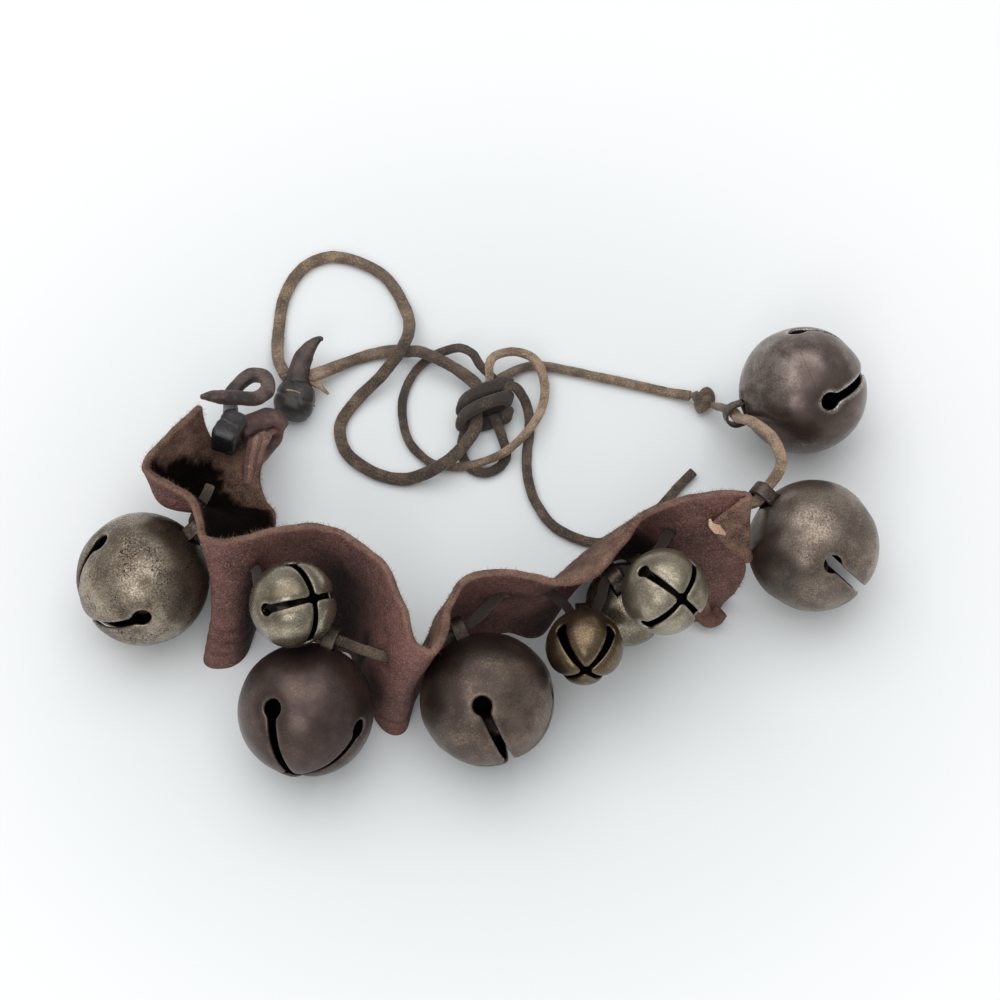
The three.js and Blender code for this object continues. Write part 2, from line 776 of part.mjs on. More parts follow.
// Strap with the holes for lace and thong, its lower edge cut flat where it stands, and every
// soft piece

const wider = 2 * clearance;
const tableSpan = 300;
const laceHoles = tube(strapLaceRoute, laceWidth + wider, laceThickness + wider, heldLaceStep);
const thongHole = tube(thongHitchRoute, thongWidth + wider, thongThickness + wider, thongStep);
const table = new THREE.BoxGeometry(tableSpan, tableSpan, tableSpan).translate(0, 0, -tableSpan / 2);
addNode(assembly, 'strap', cut(strapSheet(), laceHoles, thongHole, table), strapLeather);
addNode(assembly, 'strap_lace', tube(strapLaceRoute, laceWidth, laceThickness, heldLaceStep), suede);
addNode(assembly, 'thong_loop', tube(thongLoopRoute, thongWidth, thongThickness, thongStep), darkLeather);
addNode(assembly, 'thong_hitch', tube(thongHitchRoute, thongWidth, thongThickness, thongStep), darkLeather);
addNode(assembly, 'thong_knot', lump(thongKnotSize), darkLeather).position.copy(thongKnotCentre);
addNode(assembly, 'toggle_knot', lump(toggleKnotSize), darkLeather).position.copy(toggleKnotCentre);
const toggleTip = taperedTip(toggleTipRoute, toggleNeckDiameter, toggleTipDiameter);
addNode(assembly, 'toggle_tip', toggleTip, darkLeather);

const freeLace = new THREE.Group();
assembly.add(freeLace);
const laceTube = (points) => tube(points, laceWidth, laceThickness, laceStep);
addNode(freeLace, 'lace_bell_run', tube(bellRunRoute, laceWidth, laceThickness, heldLaceStep), suede);
addNode(freeLace, 'lace_knot', lump(laceKnotSize), suede).position.copy(laceKnotCentre);
addNode(freeLace, 'lace_long_run', laceTube(longRunRoute), suede);
addNode(freeLace, 'lace_slip_knot', winding(), suede);
addNode(freeLace, 'lace_toggle_run', laceTube(toggleRunRoute), suede);
addNode(freeLace, 'lace_big_loop', laceTube(bigLoopRoute), suede);
addNode(freeLace, 'lace_ring_loop', laceTube(ringLoopRoute), suede);
addNode(freeLace, 'lace_tail', laceTube(tailRoute), suede);

// The origin is under the middle of everything but the free lace

const ownBox = new THREE.Box3();
for (const mesh of nodes) {
  mesh.updateWorldMatrix(true, false);
  if (mesh.parent !== freeLace) {
    ownBox.expandByObject(mesh, true);
  }
}
const middle = ownBox.getCenter(new THREE.Vector3());
assembly.position.set(-middle.x, -middle.y, -ownBox.min.z);

export default assembly;
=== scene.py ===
import json
import math
import bpy
import bmesh
import numpy as np
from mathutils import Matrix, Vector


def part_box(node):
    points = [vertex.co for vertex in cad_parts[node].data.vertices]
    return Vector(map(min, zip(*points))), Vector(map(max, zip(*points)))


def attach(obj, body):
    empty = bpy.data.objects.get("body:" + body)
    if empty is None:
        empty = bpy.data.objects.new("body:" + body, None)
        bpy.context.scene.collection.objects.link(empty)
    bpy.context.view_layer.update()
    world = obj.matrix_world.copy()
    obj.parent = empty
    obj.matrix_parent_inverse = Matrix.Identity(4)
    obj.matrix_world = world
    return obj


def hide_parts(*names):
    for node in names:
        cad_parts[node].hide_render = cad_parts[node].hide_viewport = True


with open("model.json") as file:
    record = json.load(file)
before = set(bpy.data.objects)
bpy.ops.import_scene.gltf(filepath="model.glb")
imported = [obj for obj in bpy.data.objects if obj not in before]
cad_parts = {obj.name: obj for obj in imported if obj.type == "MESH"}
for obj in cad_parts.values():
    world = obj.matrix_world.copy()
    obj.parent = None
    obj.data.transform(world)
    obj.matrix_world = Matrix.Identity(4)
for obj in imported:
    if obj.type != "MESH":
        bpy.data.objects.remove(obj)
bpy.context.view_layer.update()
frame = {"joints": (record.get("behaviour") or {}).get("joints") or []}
scene = bpy.context.scene
scene.view_settings.view_transform = "Standard"
joints = {joint["name"]: joint for joint in frame["joints"]}
print("frame loaded")

# Every piece is worked out in the drawing's layout, in millimetres, and placed in the frame, in metres
layoutShift = np.array((4.4672, 16.9428, 0.0194))
tableGap = 0.03  # how far soft pieces stay above the table
shortest = 1e-6  # lengths that divide are at least this
farAway = 99.0
noiseSettings = {"values": 4096, "start": 500, "primes": np.array((73856093, 19349663, 83492791))}


def toFrame(points):
    return (np.asarray(points, float) + layoutShift) / 1000


def toLayout(points):
    return np.asarray(points, float) * 1000 - layoutShift


def unit(vectors):
    vectors = np.asarray(vectors, float)
    return vectors / np.maximum(np.linalg.norm(vectors, axis=-1, keepdims=True), 1e-9)


def ramp(values, low, high):
    return np.clip((values - low) / (high - low), 0, 1)


def softNoise(points, cell, seed):
    # smooth random values between -1 and 1 that change over about one cell
    count = noiseSettings["values"]
    values = np.random.default_rng(seed).uniform(-1, 1, count)
    spots = np.asarray(points, float) / cell + noiseSettings["start"]
    base = np.floor(spots).astype(np.int64)
    blend = spots - base
    blend = blend * blend * (3 - 2 * blend)
    total = np.zeros(len(spots))
    for corner in range(8):
        step = np.array((corner & 1, corner >> 1 & 1, corner >> 2 & 1))
        key = (base + step) * noiseSettings["primes"]
        share = np.where(step, blend, 1 - blend).prod(axis=1)
        total += share * values[(key[:, 0] ^ key[:, 1] ^ key[:, 2]) % count]
    return total


def addMark(mesh, label, values):
    mesh.attributes.new(label, "FLOAT", "POINT").data.foreach_set("value", np.asarray(values, np.float32))


def placePiece(name, mesh, body="strap", replaced=None):
    piece = bpy.data.objects.new(name, mesh)
    scene.collection.objects.link(piece)
    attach(piece, body)
    if replaced:
        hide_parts(replaced)
    return piece


def makePiece(name, points, faces, material, marks, body="strap", replaced=None):
    mesh = bpy.data.meshes.new(name)
    mesh.from_pydata(toFrame(points).tolist(), [], [list(map(int, face)) for face in faces])
    for label, values in marks.items():
        addMark(mesh, label, np.broadcast_to(values, len(points)))
    mesh.polygons.foreach_set("use_smooth", np.ones(len(mesh.polygons), bool))
    mesh.materials.append(material)
    return placePiece(name, mesh, body, replaced)


# Shader helpers

def srgb(red, green, blue):
    channels = [c / 255 for c in (red, green, blue)]
    return (*[c / 12.92 if c < 0.04045 else ((c + 0.055) / 1.055) ** 2.4 for c in channels], 1)


def painted(look):
    # the look with its colours, written from 0 to 255, made ready for a shader
    return {key: srgb(*value) if isinstance(value, tuple) else value for key, value in look.items()}


def node(tree, kind, inputs=None, **settings):
    made = tree.nodes.new(kind)
    for key, value in settings.items():
        setattr(made, key, value)
    for key, value in (inputs or {}).items():
        if isinstance(value, bpy.types.NodeSocket):
            tree.links.new(value, made.inputs[key])
        else:
            made.inputs[key].default_value = value
    return made


def mixed(tree, share, first, second):
    return node(tree, "ShaderNodeMix", {0: share, 6: first, 7: second}, data_type="RGBA").outputs[2]


def sums(tree, way, first, second):
    return node(tree, "ShaderNodeMath", {0: first, 1: second}, operation=way).outputs[0]


def weighed(tree, *pairs):
    # the sum of the values, each times its weight
    total, *others = [sums(tree, "MULTIPLY", value, weight) for value, weight in pairs]
    for other in others:
        total = sums(tree, "ADD", total, other)
    return total


def ranged(tree, value, low, high, toLow=0.0, toHigh=1.0):
    inputs = {"Value": value, "From Min": low, "From Max": high, "To Min": toLow, "To Max": toHigh}
    return node(tree, "ShaderNodeMapRange", inputs, interpolation_type="SMOOTHSTEP").outputs[0]


def noises(tree, place, settings):
    # noise textures by name: how many per metre, detail and roughness
    made = {}
    for name, (perMetre, detail, rough) in settings.items():
        inputs = {"Vector": place, "Scale": perMetre, "Detail": detail, "Roughness": rough}
        made[name] = node(tree, "ShaderNodeTexNoise", inputs).outputs[0]
    return made


def readMark(tree, name):
    return node(tree, "ShaderNodeAttribute", attribute_name=name).outputs["Fac"]


def newGroup(name, treeKind, inputs, outputs):
    # the sockets are listed by their kind
    group = bpy.data.node_groups.new(name, treeKind)
    for way, sockets in (("INPUT", inputs), ("OUTPUT", outputs)):
        for kind, labels in sockets.items():
            for label in labels:
                group.interface.new_socket(name=label, in_out=way, socket_type="NodeSocket" + kind)
    return group, group.nodes.new("NodeGroupInput").outputs, group.nodes.new("NodeGroupOutput").inputs


def newMaterial(name, **constants):
    material = bpy.data.materials.new(name)
    material.use_nodes = True
    tree = material.node_tree
    shader = tree.nodes["Principled BSDF"]
    for key, value in constants.items():
        shader.inputs[key.replace("_", " ")].default_value = value
    return material, tree, shader, node(tree, "ShaderNodeTexCoord").outputs["Object"]


def finishMaterial(tree, shader, sockets, height, depth, strength):
    for key, socket in sockets.items():
        tree.links.new(socket, shader.inputs[key])
    bump = node(tree, "ShaderNodeBump", {"Height": height, "Distance": depth, "Strength": strength})
    tree.links.new(bump.outputs[0], shader.inputs["Normal"])


# Metal with a patina: cloudy tarnish, bare metal in fine specks and on rubbed rims, and pits in clusters

patinaNoises = {
    "cloud": (95, 3, 0.5), "patch": (300, 4, 0.6), "speck": (2400, 3, 0.65), "grit": (5200, 2, 0.5),
    "cluster": (170, 3, 0.6), "pit": (3000, 2, 0.5),
}
patinaColours = painted({"pit": (46, 36, 31), "grit": (30, 25, 22), "inside": (40, 31, 28)})


def patinaGroup():
    group, given, made = newGroup(
        "patina", "ShaderNodeTree",
        {"Vector": ["Place"], "Color": ["Tarnish", "Scuff", "Bare"],
         "Float": ["Cover", "Wear", "Pits", "Shine"]},
        {"Color": ["Color"], "Float": ["Roughness", "Metallic", "Height"]},
    )
    field = noises(group, given["Place"], patinaNoises)
    soft = weighed(group, (field["cloud"], 0.6), (field["patch"], 0.4))
    tarnish = mixed(group, ranged(group, soft, 0.4, 0.6), given["Tarnish"], given["Scuff"])
    bared = weighed(group, (soft, 0.5), (field["speck"], 0.5), (given["Cover"], 0.4))
    scratchy = weighed(group, (field["patch"], 0.5), (field["speck"], 0.5))
    rubbed = sums(group, "MULTIPLY", given["Wear"], ranged(group, scratchy, 0.38, 0.58))
    bare = sums(group, "MAXIMUM", ranged(group, bared, 0.56, 0.72), rubbed)
    colour = mixed(group, bare, tarnish, given["Bare"])
    clusters = ranged(group, field["cluster"], 0.4, 0.62)
    pits = sums(group, "MULTIPLY", ranged(group, field["pit"], 0.52, 0.62), clusters)
    pits = sums(group, "MULTIPLY", pits, given["Pits"])
    colour = mixed(group, pits, colour, patinaColours["pit"])
    colour = mixed(group, ranged(group, field["grit"], 0.3, 0.7, 0.22, 0.0), colour, patinaColours["grit"])
    dull = sums(group, "ADD", given["Shine"], sums(group, "MULTIPLY", pits, 0.25))
    group.links.new(colour, made["Color"])
    group.links.new(sums(group, "ADD", dull, ranged(group, soft, 0.35, 0.65, 0.1, 0.0)), made["Roughness"])
    group.links.new(ranged(group, bare, 0, 1, 0.78, 0.95), made["Metallic"])
    height = weighed(group, (field["grit"], 0.25), (field["speck"], 0.4), (pits, -0.8))
    group.links.new(height, made["Height"])
    return group


patina = patinaGroup()


def metalMaterial(name, look):
    material, tree, shader, place = newMaterial(name)
    inputs = {key.capitalize(): value for key, value in painted(look).items()}
    inputs.update({"Place": place, "Wear": sums(tree, "MULTIPLY", readMark(tree, "wear"), look["wear"])})
    made = node(tree, "ShaderNodeGroup", inputs, node_tree=patina).outputs
    # the inside mark darkens the metal: painted shade inside the shell and along the slot lips, and grime
    # with painted shade on some sides
    shaded = mixed(tree, readMark(tree, "inside"), made["Color"], patinaColours["inside"])
    sockets = {"Base Color": shaded, "Roughness": made["Roughness"], "Metallic": made["Metallic"]}
    finishMaterial(tree, shader, sockets, made["Height"], depth=0.00008, strength=0.6)
    return material


# Suede and the flesh side of leather: a mottled nap

napNoises = {"broad": (260, 3, 0.6), "fine": (3200, 4, 0.7)}
suedeSheen = {"Roughness": 0.95, "Sheen_Weight": 0.15, "Sheen_Roughness": 0.6}


def napGroup():
    group, given, made = newGroup(
        "nap", "ShaderNodeTree",
        {"Vector": ["Place"], "Color": ["Dark", "Middle", "Light"], "Float": ["Tone"]},
        {"Color": ["Color"], "Float": ["Height"]},
    )
    field = noises(group, given["Place"], napNoises)
    level = sums(group, "ADD", given["Tone"], ranged(group, field["broad"], 0.25, 0.75, -0.22, 0.22))
    level = sums(group, "ADD", level, ranged(group, field["fine"], 0.28, 0.72, -0.34, 0.34))
    colour = mixed(group, ranged(group, level, 0.0, 0.55), given["Dark"], given["Middle"])
    colour = mixed(group, ranged(group, level, 0.5, 1.05), colour, given["Light"])
    group.links.new(colour, made["Color"])
    group.links.new(weighed(group, (field["fine"], 0.7), (field["broad"], 0.4)), made["Height"])
    return group


nap = napGroup()


def napped(tree, place, tone, look):
    inputs = {key.capitalize(): look[key] for key in ("dark", "middle", "light")}
    return node(tree, "ShaderNodeGroup", {"Place": place, "Tone": tone, **inputs}, node_tree=nap).outputs


def suedeMaterial(name, look):
    material, tree, shader, place = newMaterial(name, **suedeSheen)
    made = napped(tree, place, readMark(tree, "tone"), painted(look))
    sockets = {"Base Color": made["Color"]}
    finishMaterial(tree, shader, sockets, made["Height"], depth=0.0003, strength=0.8)
    return material


# the nearly black soil colour stands for dirt and painted shade together
strapLook = {
    "dark": (72, 54, 46), "middle": (134, 104, 89), "light": (184, 150, 128), "soilAndShade": (8, 6, 6),
    "pore": (56, 37, 35), "skinDark": (98, 66, 61), "skin": (126, 87, 80), "skinWorn": (146, 107, 97),
    "glint": (164, 128, 119),
}
strapNoises = {"broad": (110, 4, 0.6), "crease": (900, 6, 0.65), "sparkle": (2600, 3, 0.6)}
grainPerMetre = 1800.0


def strapMaterial(name, look):
    # grain leather outside, nap on the flesh side and where the cut edge frays, dirt and painted shade over
    # both
    material, tree, shader, place = newMaterial(name)
    fleshy, edge, soilAndShade = (readMark(tree, label) for label in ("flesh", "edge", "soilAndShade"))
    tone = sums(tree, "ADD", sums(tree, "MULTIPLY", edge, 0.05), 0.35)
    flesh = napped(tree, place, tone, look)
    field = noises(tree, place, strapNoises)
    crease, sparkle = field["crease"], field["sparkle"]
    cells = node(tree, "ShaderNodeTexVoronoi", {"Vector": place, "Scale": grainPerMetre}, feature="F1")
    grain = cells.outputs["Distance"]
    skin = mixed(tree, ranged(tree, field["broad"], 0.32, 0.68), look["skinDark"], look["skin"])
    skin = mixed(tree, ranged(tree, crease, 0.48, 0.72, 0.0, 0.6), skin, look["skinWorn"])
    skin = mixed(tree, ranged(tree, sparkle, 0.5, 0.68, 0.0, 0.7), skin, look["glint"])
    skin = mixed(tree, ranged(tree, sparkle, 0.32, 0.46, 0.6, 0.0), skin, look["pore"])
    rim, ragged = ranged(tree, edge, 0.35, 1.0, 0.0, 0.7), ranged(tree, crease, 0.38, 0.62, 0.1, 1.0)
    skin = mixed(tree, sums(tree, "MULTIPLY", rim, ragged), skin, look["middle"])
    colour = mixed(tree, fleshy, skin, flesh["Color"])
    sockets = {
        # the soil mark mixes in that nearly black colour: dirt and painted shade
        "Base Color": mixed(tree, sums(tree, "MULTIPLY", soilAndShade, 0.98), colour, look["soilAndShade"]),
        "Roughness": ranged(tree, fleshy, 0.0, 1.0, 0.62, 0.95),
        "Specular IOR Level": ranged(tree, sums(tree, "MULTIPLY", soilAndShade, fleshy), 0.0, 1.0, 0.25, 0.03),
    }
    skinHeight = weighed(tree, (sparkle, 0.5), (crease, 0.7), (grain, -0.4))
    heights = {0: fleshy, 2: skinHeight, 3: flesh["Height"]}
    height = node(tree, "ShaderNodeMix", heights, data_type="FLOAT").outputs[0]
    finishMaterial(tree, shader, sockets, height, depth=0.0005, strength=0.9)
    return material


waxedNoises = {"broad": (220, 4, 0.6), "fine": (1700, 5, 0.65)}
dustSpan = 0.18


def waxedMaterial(name, look):
    # dark waxed leather with dust on it
    material, tree, shader, place = newMaterial(name, Specular_IOR_Level=0.5)
    field = noises(tree, place, waxedNoises)
    broad, fine = field["broad"], field["fine"]
    patchy = weighed(tree, (broad, 0.5), (fine, 0.5))
    dusty = ranged(tree, patchy, look["dustFrom"], look["dustFrom"] + dustSpan)
    colour = mixed(tree, ranged(tree, broad, 0.35, 0.65), look["dark"], look["middle"])
    colour = mixed(tree, sums(tree, "MULTIPLY", dusty, look["dust"]), colour, look["light"])
    rough = ranged(tree, dusty, 0.0, 1.0, look["shine"], 0.85)
    height = weighed(tree, (broad, 1.2), (fine, 0.4))
    sockets = {"Base Color": colour, "Roughness": rough}
    finishMaterial(tree, shader, sockets, height, depth=0.0004, strength=0.7)
    return material


def leatherLook(dark, middle, light, **wax):
    return {"dark": dark, "middle": middle, "light": light, **wax}


suede = suedeMaterial("suede", leatherLook((50, 40, 33), (104, 87, 71), (170, 144, 117)))
strapLeather = strapMaterial("strapLeather", painted(strapLook))
waxedLooks = {
    "thong": leatherLook((46, 37, 36), (80, 62, 59), (128, 110, 102), dust=0.6, dustFrom=0.47, shine=0.42),
    "hitch": leatherLook((62, 42, 38), (98, 69, 62), (140, 108, 97), dust=0.5, dustFrom=0.5, shine=0.5),
    "block": leatherLook((28, 25, 26), (46, 42, 43), (112, 105, 103), dust=0.5, dustFrom=0.53, shine=0.26),
    "knob": leatherLook((32, 31, 29), (50, 47, 43), (100, 95, 88), dust=0.4, dustFrom=0.55, shine=0.4),
    "horn": leatherLook((46, 34, 33), (72, 55, 52), (136, 114, 106), dust=0.5, dustFrom=0.52, shine=0.45),
}
waxed = {name: waxedMaterial(name + "Leather", painted(look)) for name, look in waxedLooks.items()}
tongueLeather = suedeMaterial("tongueLeather", leatherLook((74, 50, 44), (118, 84, 72), (164, 128, 108)))
tornLeather = suedeMaterial("tornLeather", leatherLook((126, 98, 78), (178, 144, 116), (214, 184, 156)))
fleshFuzz = suedeMaterial("fleshFuzz", leatherLook((70, 54, 46), (112, 88, 74), (156, 128, 106)))
print("leather and metal shaders made")


# Camera, floor and light

cameraSettings = {"distance": 600, "elevation": 63, "lens": 97.45, "sensor": 36, "nearest": 0.01}
camera = bpy.data.objects.new("camera", bpy.data.cameras.new("camera"))
tilt = math.radians(cameraSettings["elevation"])
camera.location = toFrame(cameraSettings["distance"] * np.array((0, -math.cos(tilt), math.sin(tilt))))
camera.rotation_euler = (math.pi / 2 - tilt, 0, 0)
camera.data.lens = cameraSettings["lens"]
camera.data.sensor_width = cameraSettings["sensor"]
camera.data.clip_start = cameraSettings["nearest"]
scene.collection.objects.link(camera)
scene.camera = camera

# the floor is painted darker near the middle and lighter further out: a painted shade round the object
floorSettings = {
    "span": 4.0, "near": srgb(226, 230, 231), "far": srgb(246, 247, 247), "nearRadius": 0.03,
    "farRadius": 0.16,
}
floorMesh = bpy.data.meshes.new("floor")
half = floorSettings["span"] / 2
floorCorners = [(x * half, y * half, 0) for x, y in ((-1, -1), (1, -1), (1, 1), (-1, 1))]
floorMesh.from_pydata(floorCorners, [], [(0, 1, 2, 3)])
floor = bpy.data.objects.new("floor", floorMesh)
scene.collection.objects.link(floor)
floorFinish = {"Roughness": 0.9, "Specular_IOR_Level": 0.1}
floorPaint, floorTree, floorShader, floorPlace = newMaterial("floorPaint", **floorFinish)
fromMiddle = node(floorTree, "ShaderNodeVectorMath", {0: floorPlace}, operation="LENGTH").outputs["Value"]
shadeFading = ranged(floorTree, fromMiddle, floorSettings["nearRadius"], floorSettings["farRadius"])
floorColour = mixed(floorTree, shadeFading, floorSettings["near"], floorSettings["far"])
floorTree.links.new(floorColour, floorShader.inputs["Base Color"])
floorMesh.materials.append(floorPaint)

skySettings = {"Color": (0.98, 0.99, 1, 1), "Strength": 0.5}
world = bpy.data.worlds.new("studio")
world.use_nodes = True
for label, value in skySettings.items():
    world.node_tree.nodes["Background"].inputs[label].default_value = value
scene.world = world
lampSettings = {
    "softbox": {"size": 2.0, "power": 18, "place": (-0.15, 0.25, 1.5), "tilt": (-8, -6, 0)},
    "fill": {"size": 0.6, "power": 3.2, "place": (-0.25, -0.95, 0.95), "tilt": (45, 0, -15)},
}
for name, settings in lampSettings.items():
    lamp = bpy.data.objects.new(name, bpy.data.lights.new(name, "AREA"))
    lamp.data.shape = "SQUARE"
    lamp.data.size = settings["size"]
    lamp.data.energy = settings["power"]
    lamp.location = settings["place"]
    lamp.rotation_euler = [math.radians(angle) for angle in settings["tilt"]]
    scene.collection.objects.link(lamp)
print("camera, floor and light set")


# Paths and what is swept along them

curveSteps = 24
levelling = 0.25  # how strongly a strip turns back to lying flat
leastLevel = 0.2  # a path steeper than this starts with another side
endRings = (0.35, 0.75, 0.98)
endBulge = 0.5


def smoothPath(points, spacing):
    # evenly spaced points on the centripetal curve through the given ones
    points = np.asarray(points, float)
    points = np.vstack([2 * points[0] - points[1], points, 2 * points[-1] - points[-2]])
    share = np.linspace(0, 1, curveSteps, endpoint=False)[:, None]
    fine = []
    for i in range(1, len(points) - 2):
        before, start, end, after = points[i - 1:i + 3]
        pairs = ((before, start), (start, end), (end, after))
        first, middle, last = [max(np.linalg.norm(b - a), shortest) ** 0.5 for a, b in pairs]
        direct = (end - start) / middle
        leave = ((start - before) / first - (end - before) / (first + middle) + direct) * middle
        enter = (direct - (after - start) / (middle + last) + (after - end) / last) * middle
        cubic = 2 * start - 2 * end + leave + enter
        square = -3 * start + 3 * end - 2 * leave - enter
        fine.append(start + leave * share + square * share ** 2 + cubic * share ** 3)
    fine = np.vstack(fine + [points[-2:-1]])
    run = np.concatenate([[0], np.cumsum(np.linalg.norm(np.diff(fine, axis=0), axis=1))])
    stops = np.linspace(0, run[-1], max(int(round(run[-1] / spacing)), 3) + 1)
    return np.stack([np.interp(stops, run, fine[:, k]) for k in range(3)], axis=1)


def stepped(value, share):
    # one number, or what pairs of share and size give along the way
    return np.interp(share, *zip(*value)) if isinstance(value, tuple) else value


def sideways(path, tangents):
    # across the path and level where it can be, carried on through steep stretches
    sides = np.zeros_like(path)
    previous = None
    for i, tangent in enumerate(tangents):
        level = np.cross((0, 0, 1), tangent)
        flatness = np.linalg.norm(level)
        level = level / max(flatness, shortest)
        if previous is None:
            side = level if flatness > leastLevel else unit(np.cross(tangent, (0, 1, 0)))
        else:
            carried = unit(previous - tangent * previous.dot(tangent))
            pull = levelling * flatness ** 2
            side = unit(carried * (1 - pull) + level * (pull if level.dot(carried) >= 0 else -pull))
        sides[i] = previous = side
    return sides


def sweep(path, width, height, turn=0.0, sides=16, square=3.0, across=None, closed=False):
    # a strip of rounded section along a path, with its length marked along it
    count = len(path)
    steps = np.roll(path, -1, axis=0) - np.roll(path, 1, axis=0) if closed else np.gradient(path, axis=0)
    tangents = unit(steps)
    side = np.tile(unit(across), (count, 1)) if across is not None else sideways(path, tangents)
    raised = unit(np.cross(tangents, side))
    turn = np.broadcast_to(turn, count)[:, None]
    side, raised = side * np.cos(turn) + raised * np.sin(turn), raised * np.cos(turn) - side * np.sin(turn)
    angle = np.arange(sides) / sides * 2 * math.pi
    flat = np.sign(np.cos(angle)) * np.abs(np.cos(angle)) ** (2 / square)
    tall = np.sign(np.sin(angle)) * np.abs(np.sin(angle)) ** (2 / square)
    width = np.broadcast_to(width, count) / 2
    height = np.broadcast_to(height, count) / 2
    rims = []
    for i in range(count):
        rims.append(side[i] * (flat * width[i])[:, None] + raised[i] * (tall * height[i])[:, None])
    rings = [path[i] + rims[i] for i in range(count)]
    along = [0.0, *np.cumsum(np.linalg.norm(np.diff(path, axis=0), axis=1))]
    if not closed:
        # rounded ends
        for share in endRings:
            swell = math.sqrt(1 - share ** 2)
            outwards = share * height * endBulge
            rings.insert(0, path[0] - tangents[0] * outwards[0] + rims[0] * swell)
            rings.append(path[-1] + tangents[-1] * outwards[-1] + rims[-1] * swell)
            along = [along[0], *along, along[-1]]
    total = len(rings)
    faces = []
    for i in range(total if closed else total - 1):
        here, ahead = i * sides, (i + 1) % total * sides
        pairs = [(k, (k + 1) % sides) for k in range(sides)]
        faces += [(here + k, here + after, ahead + after, ahead + k) for k, after in pairs]
    if not closed:
        faces.append(tuple(range(sides - 1, -1, -1)))
        faces.append(tuple((total - 1) * sides + k for k in range(sides)))
    return np.concatenate(rings), faces, np.repeat(along, sides)


def roughened(points, amounts, seed):
    # moves points about a little, in lumps of each given size
    moved = np.array(points, float)
    for cell, amount in amounts:
        for axis in range(3):
            moved[:, axis] += amount * softNoise(points, cell, seed + axis + int(cell * 100))
    return moved


# Bells: where each hangs comes from its joints in the frame

leftward = "bell_4"  # the lace goes through this eye to the left, and to the right through the others
eyeGuide = 2.1


def bellFrame(name):
    eye = toLayout(joints[name + "_swing"]["pos_m"])
    centre = toLayout(joints[name + "_pellet_roll"]["pos_m"])
    mouth = unit(centre - eye)
    run = np.array(joints[name + "_swing"]["axis"])
    run = unit(run - mouth * run.dot(mouth))
    run = run * np.sign(run[0]) * (-1 if name == leftward else 1)
    axes = np.array((run, np.cross(-mouth, run), -mouth))
    return {"eye": eye, "centre": centre, "run": run, "axes": axes}


bells = {f"bell_{i}": bellFrame(f"bell_{i}") for i in range(1, 10)}


def swungCentre(name):
    # where the bell's middle is at the end of its swing
    joint, eye = joints[name + "_swing"], bells[name]["eye"]
    axis, angle = unit(joint["axis"]), math.radians(joint["range_deg"][1])
    arm = bells[name]["centre"] - eye
    turned = arm * math.cos(angle) + np.cross(axis, arm) * math.sin(angle)
    return eye + turned + axis * axis.dot(arm) * (1 - math.cos(angle))


def throughEye(name):
    return [bells[name]["eye"] + bells[name]["run"] * step for step in (-eyeGuide, 0, eyeGuide)]


# Suede lace: the part held in the strap and the free runs behind it

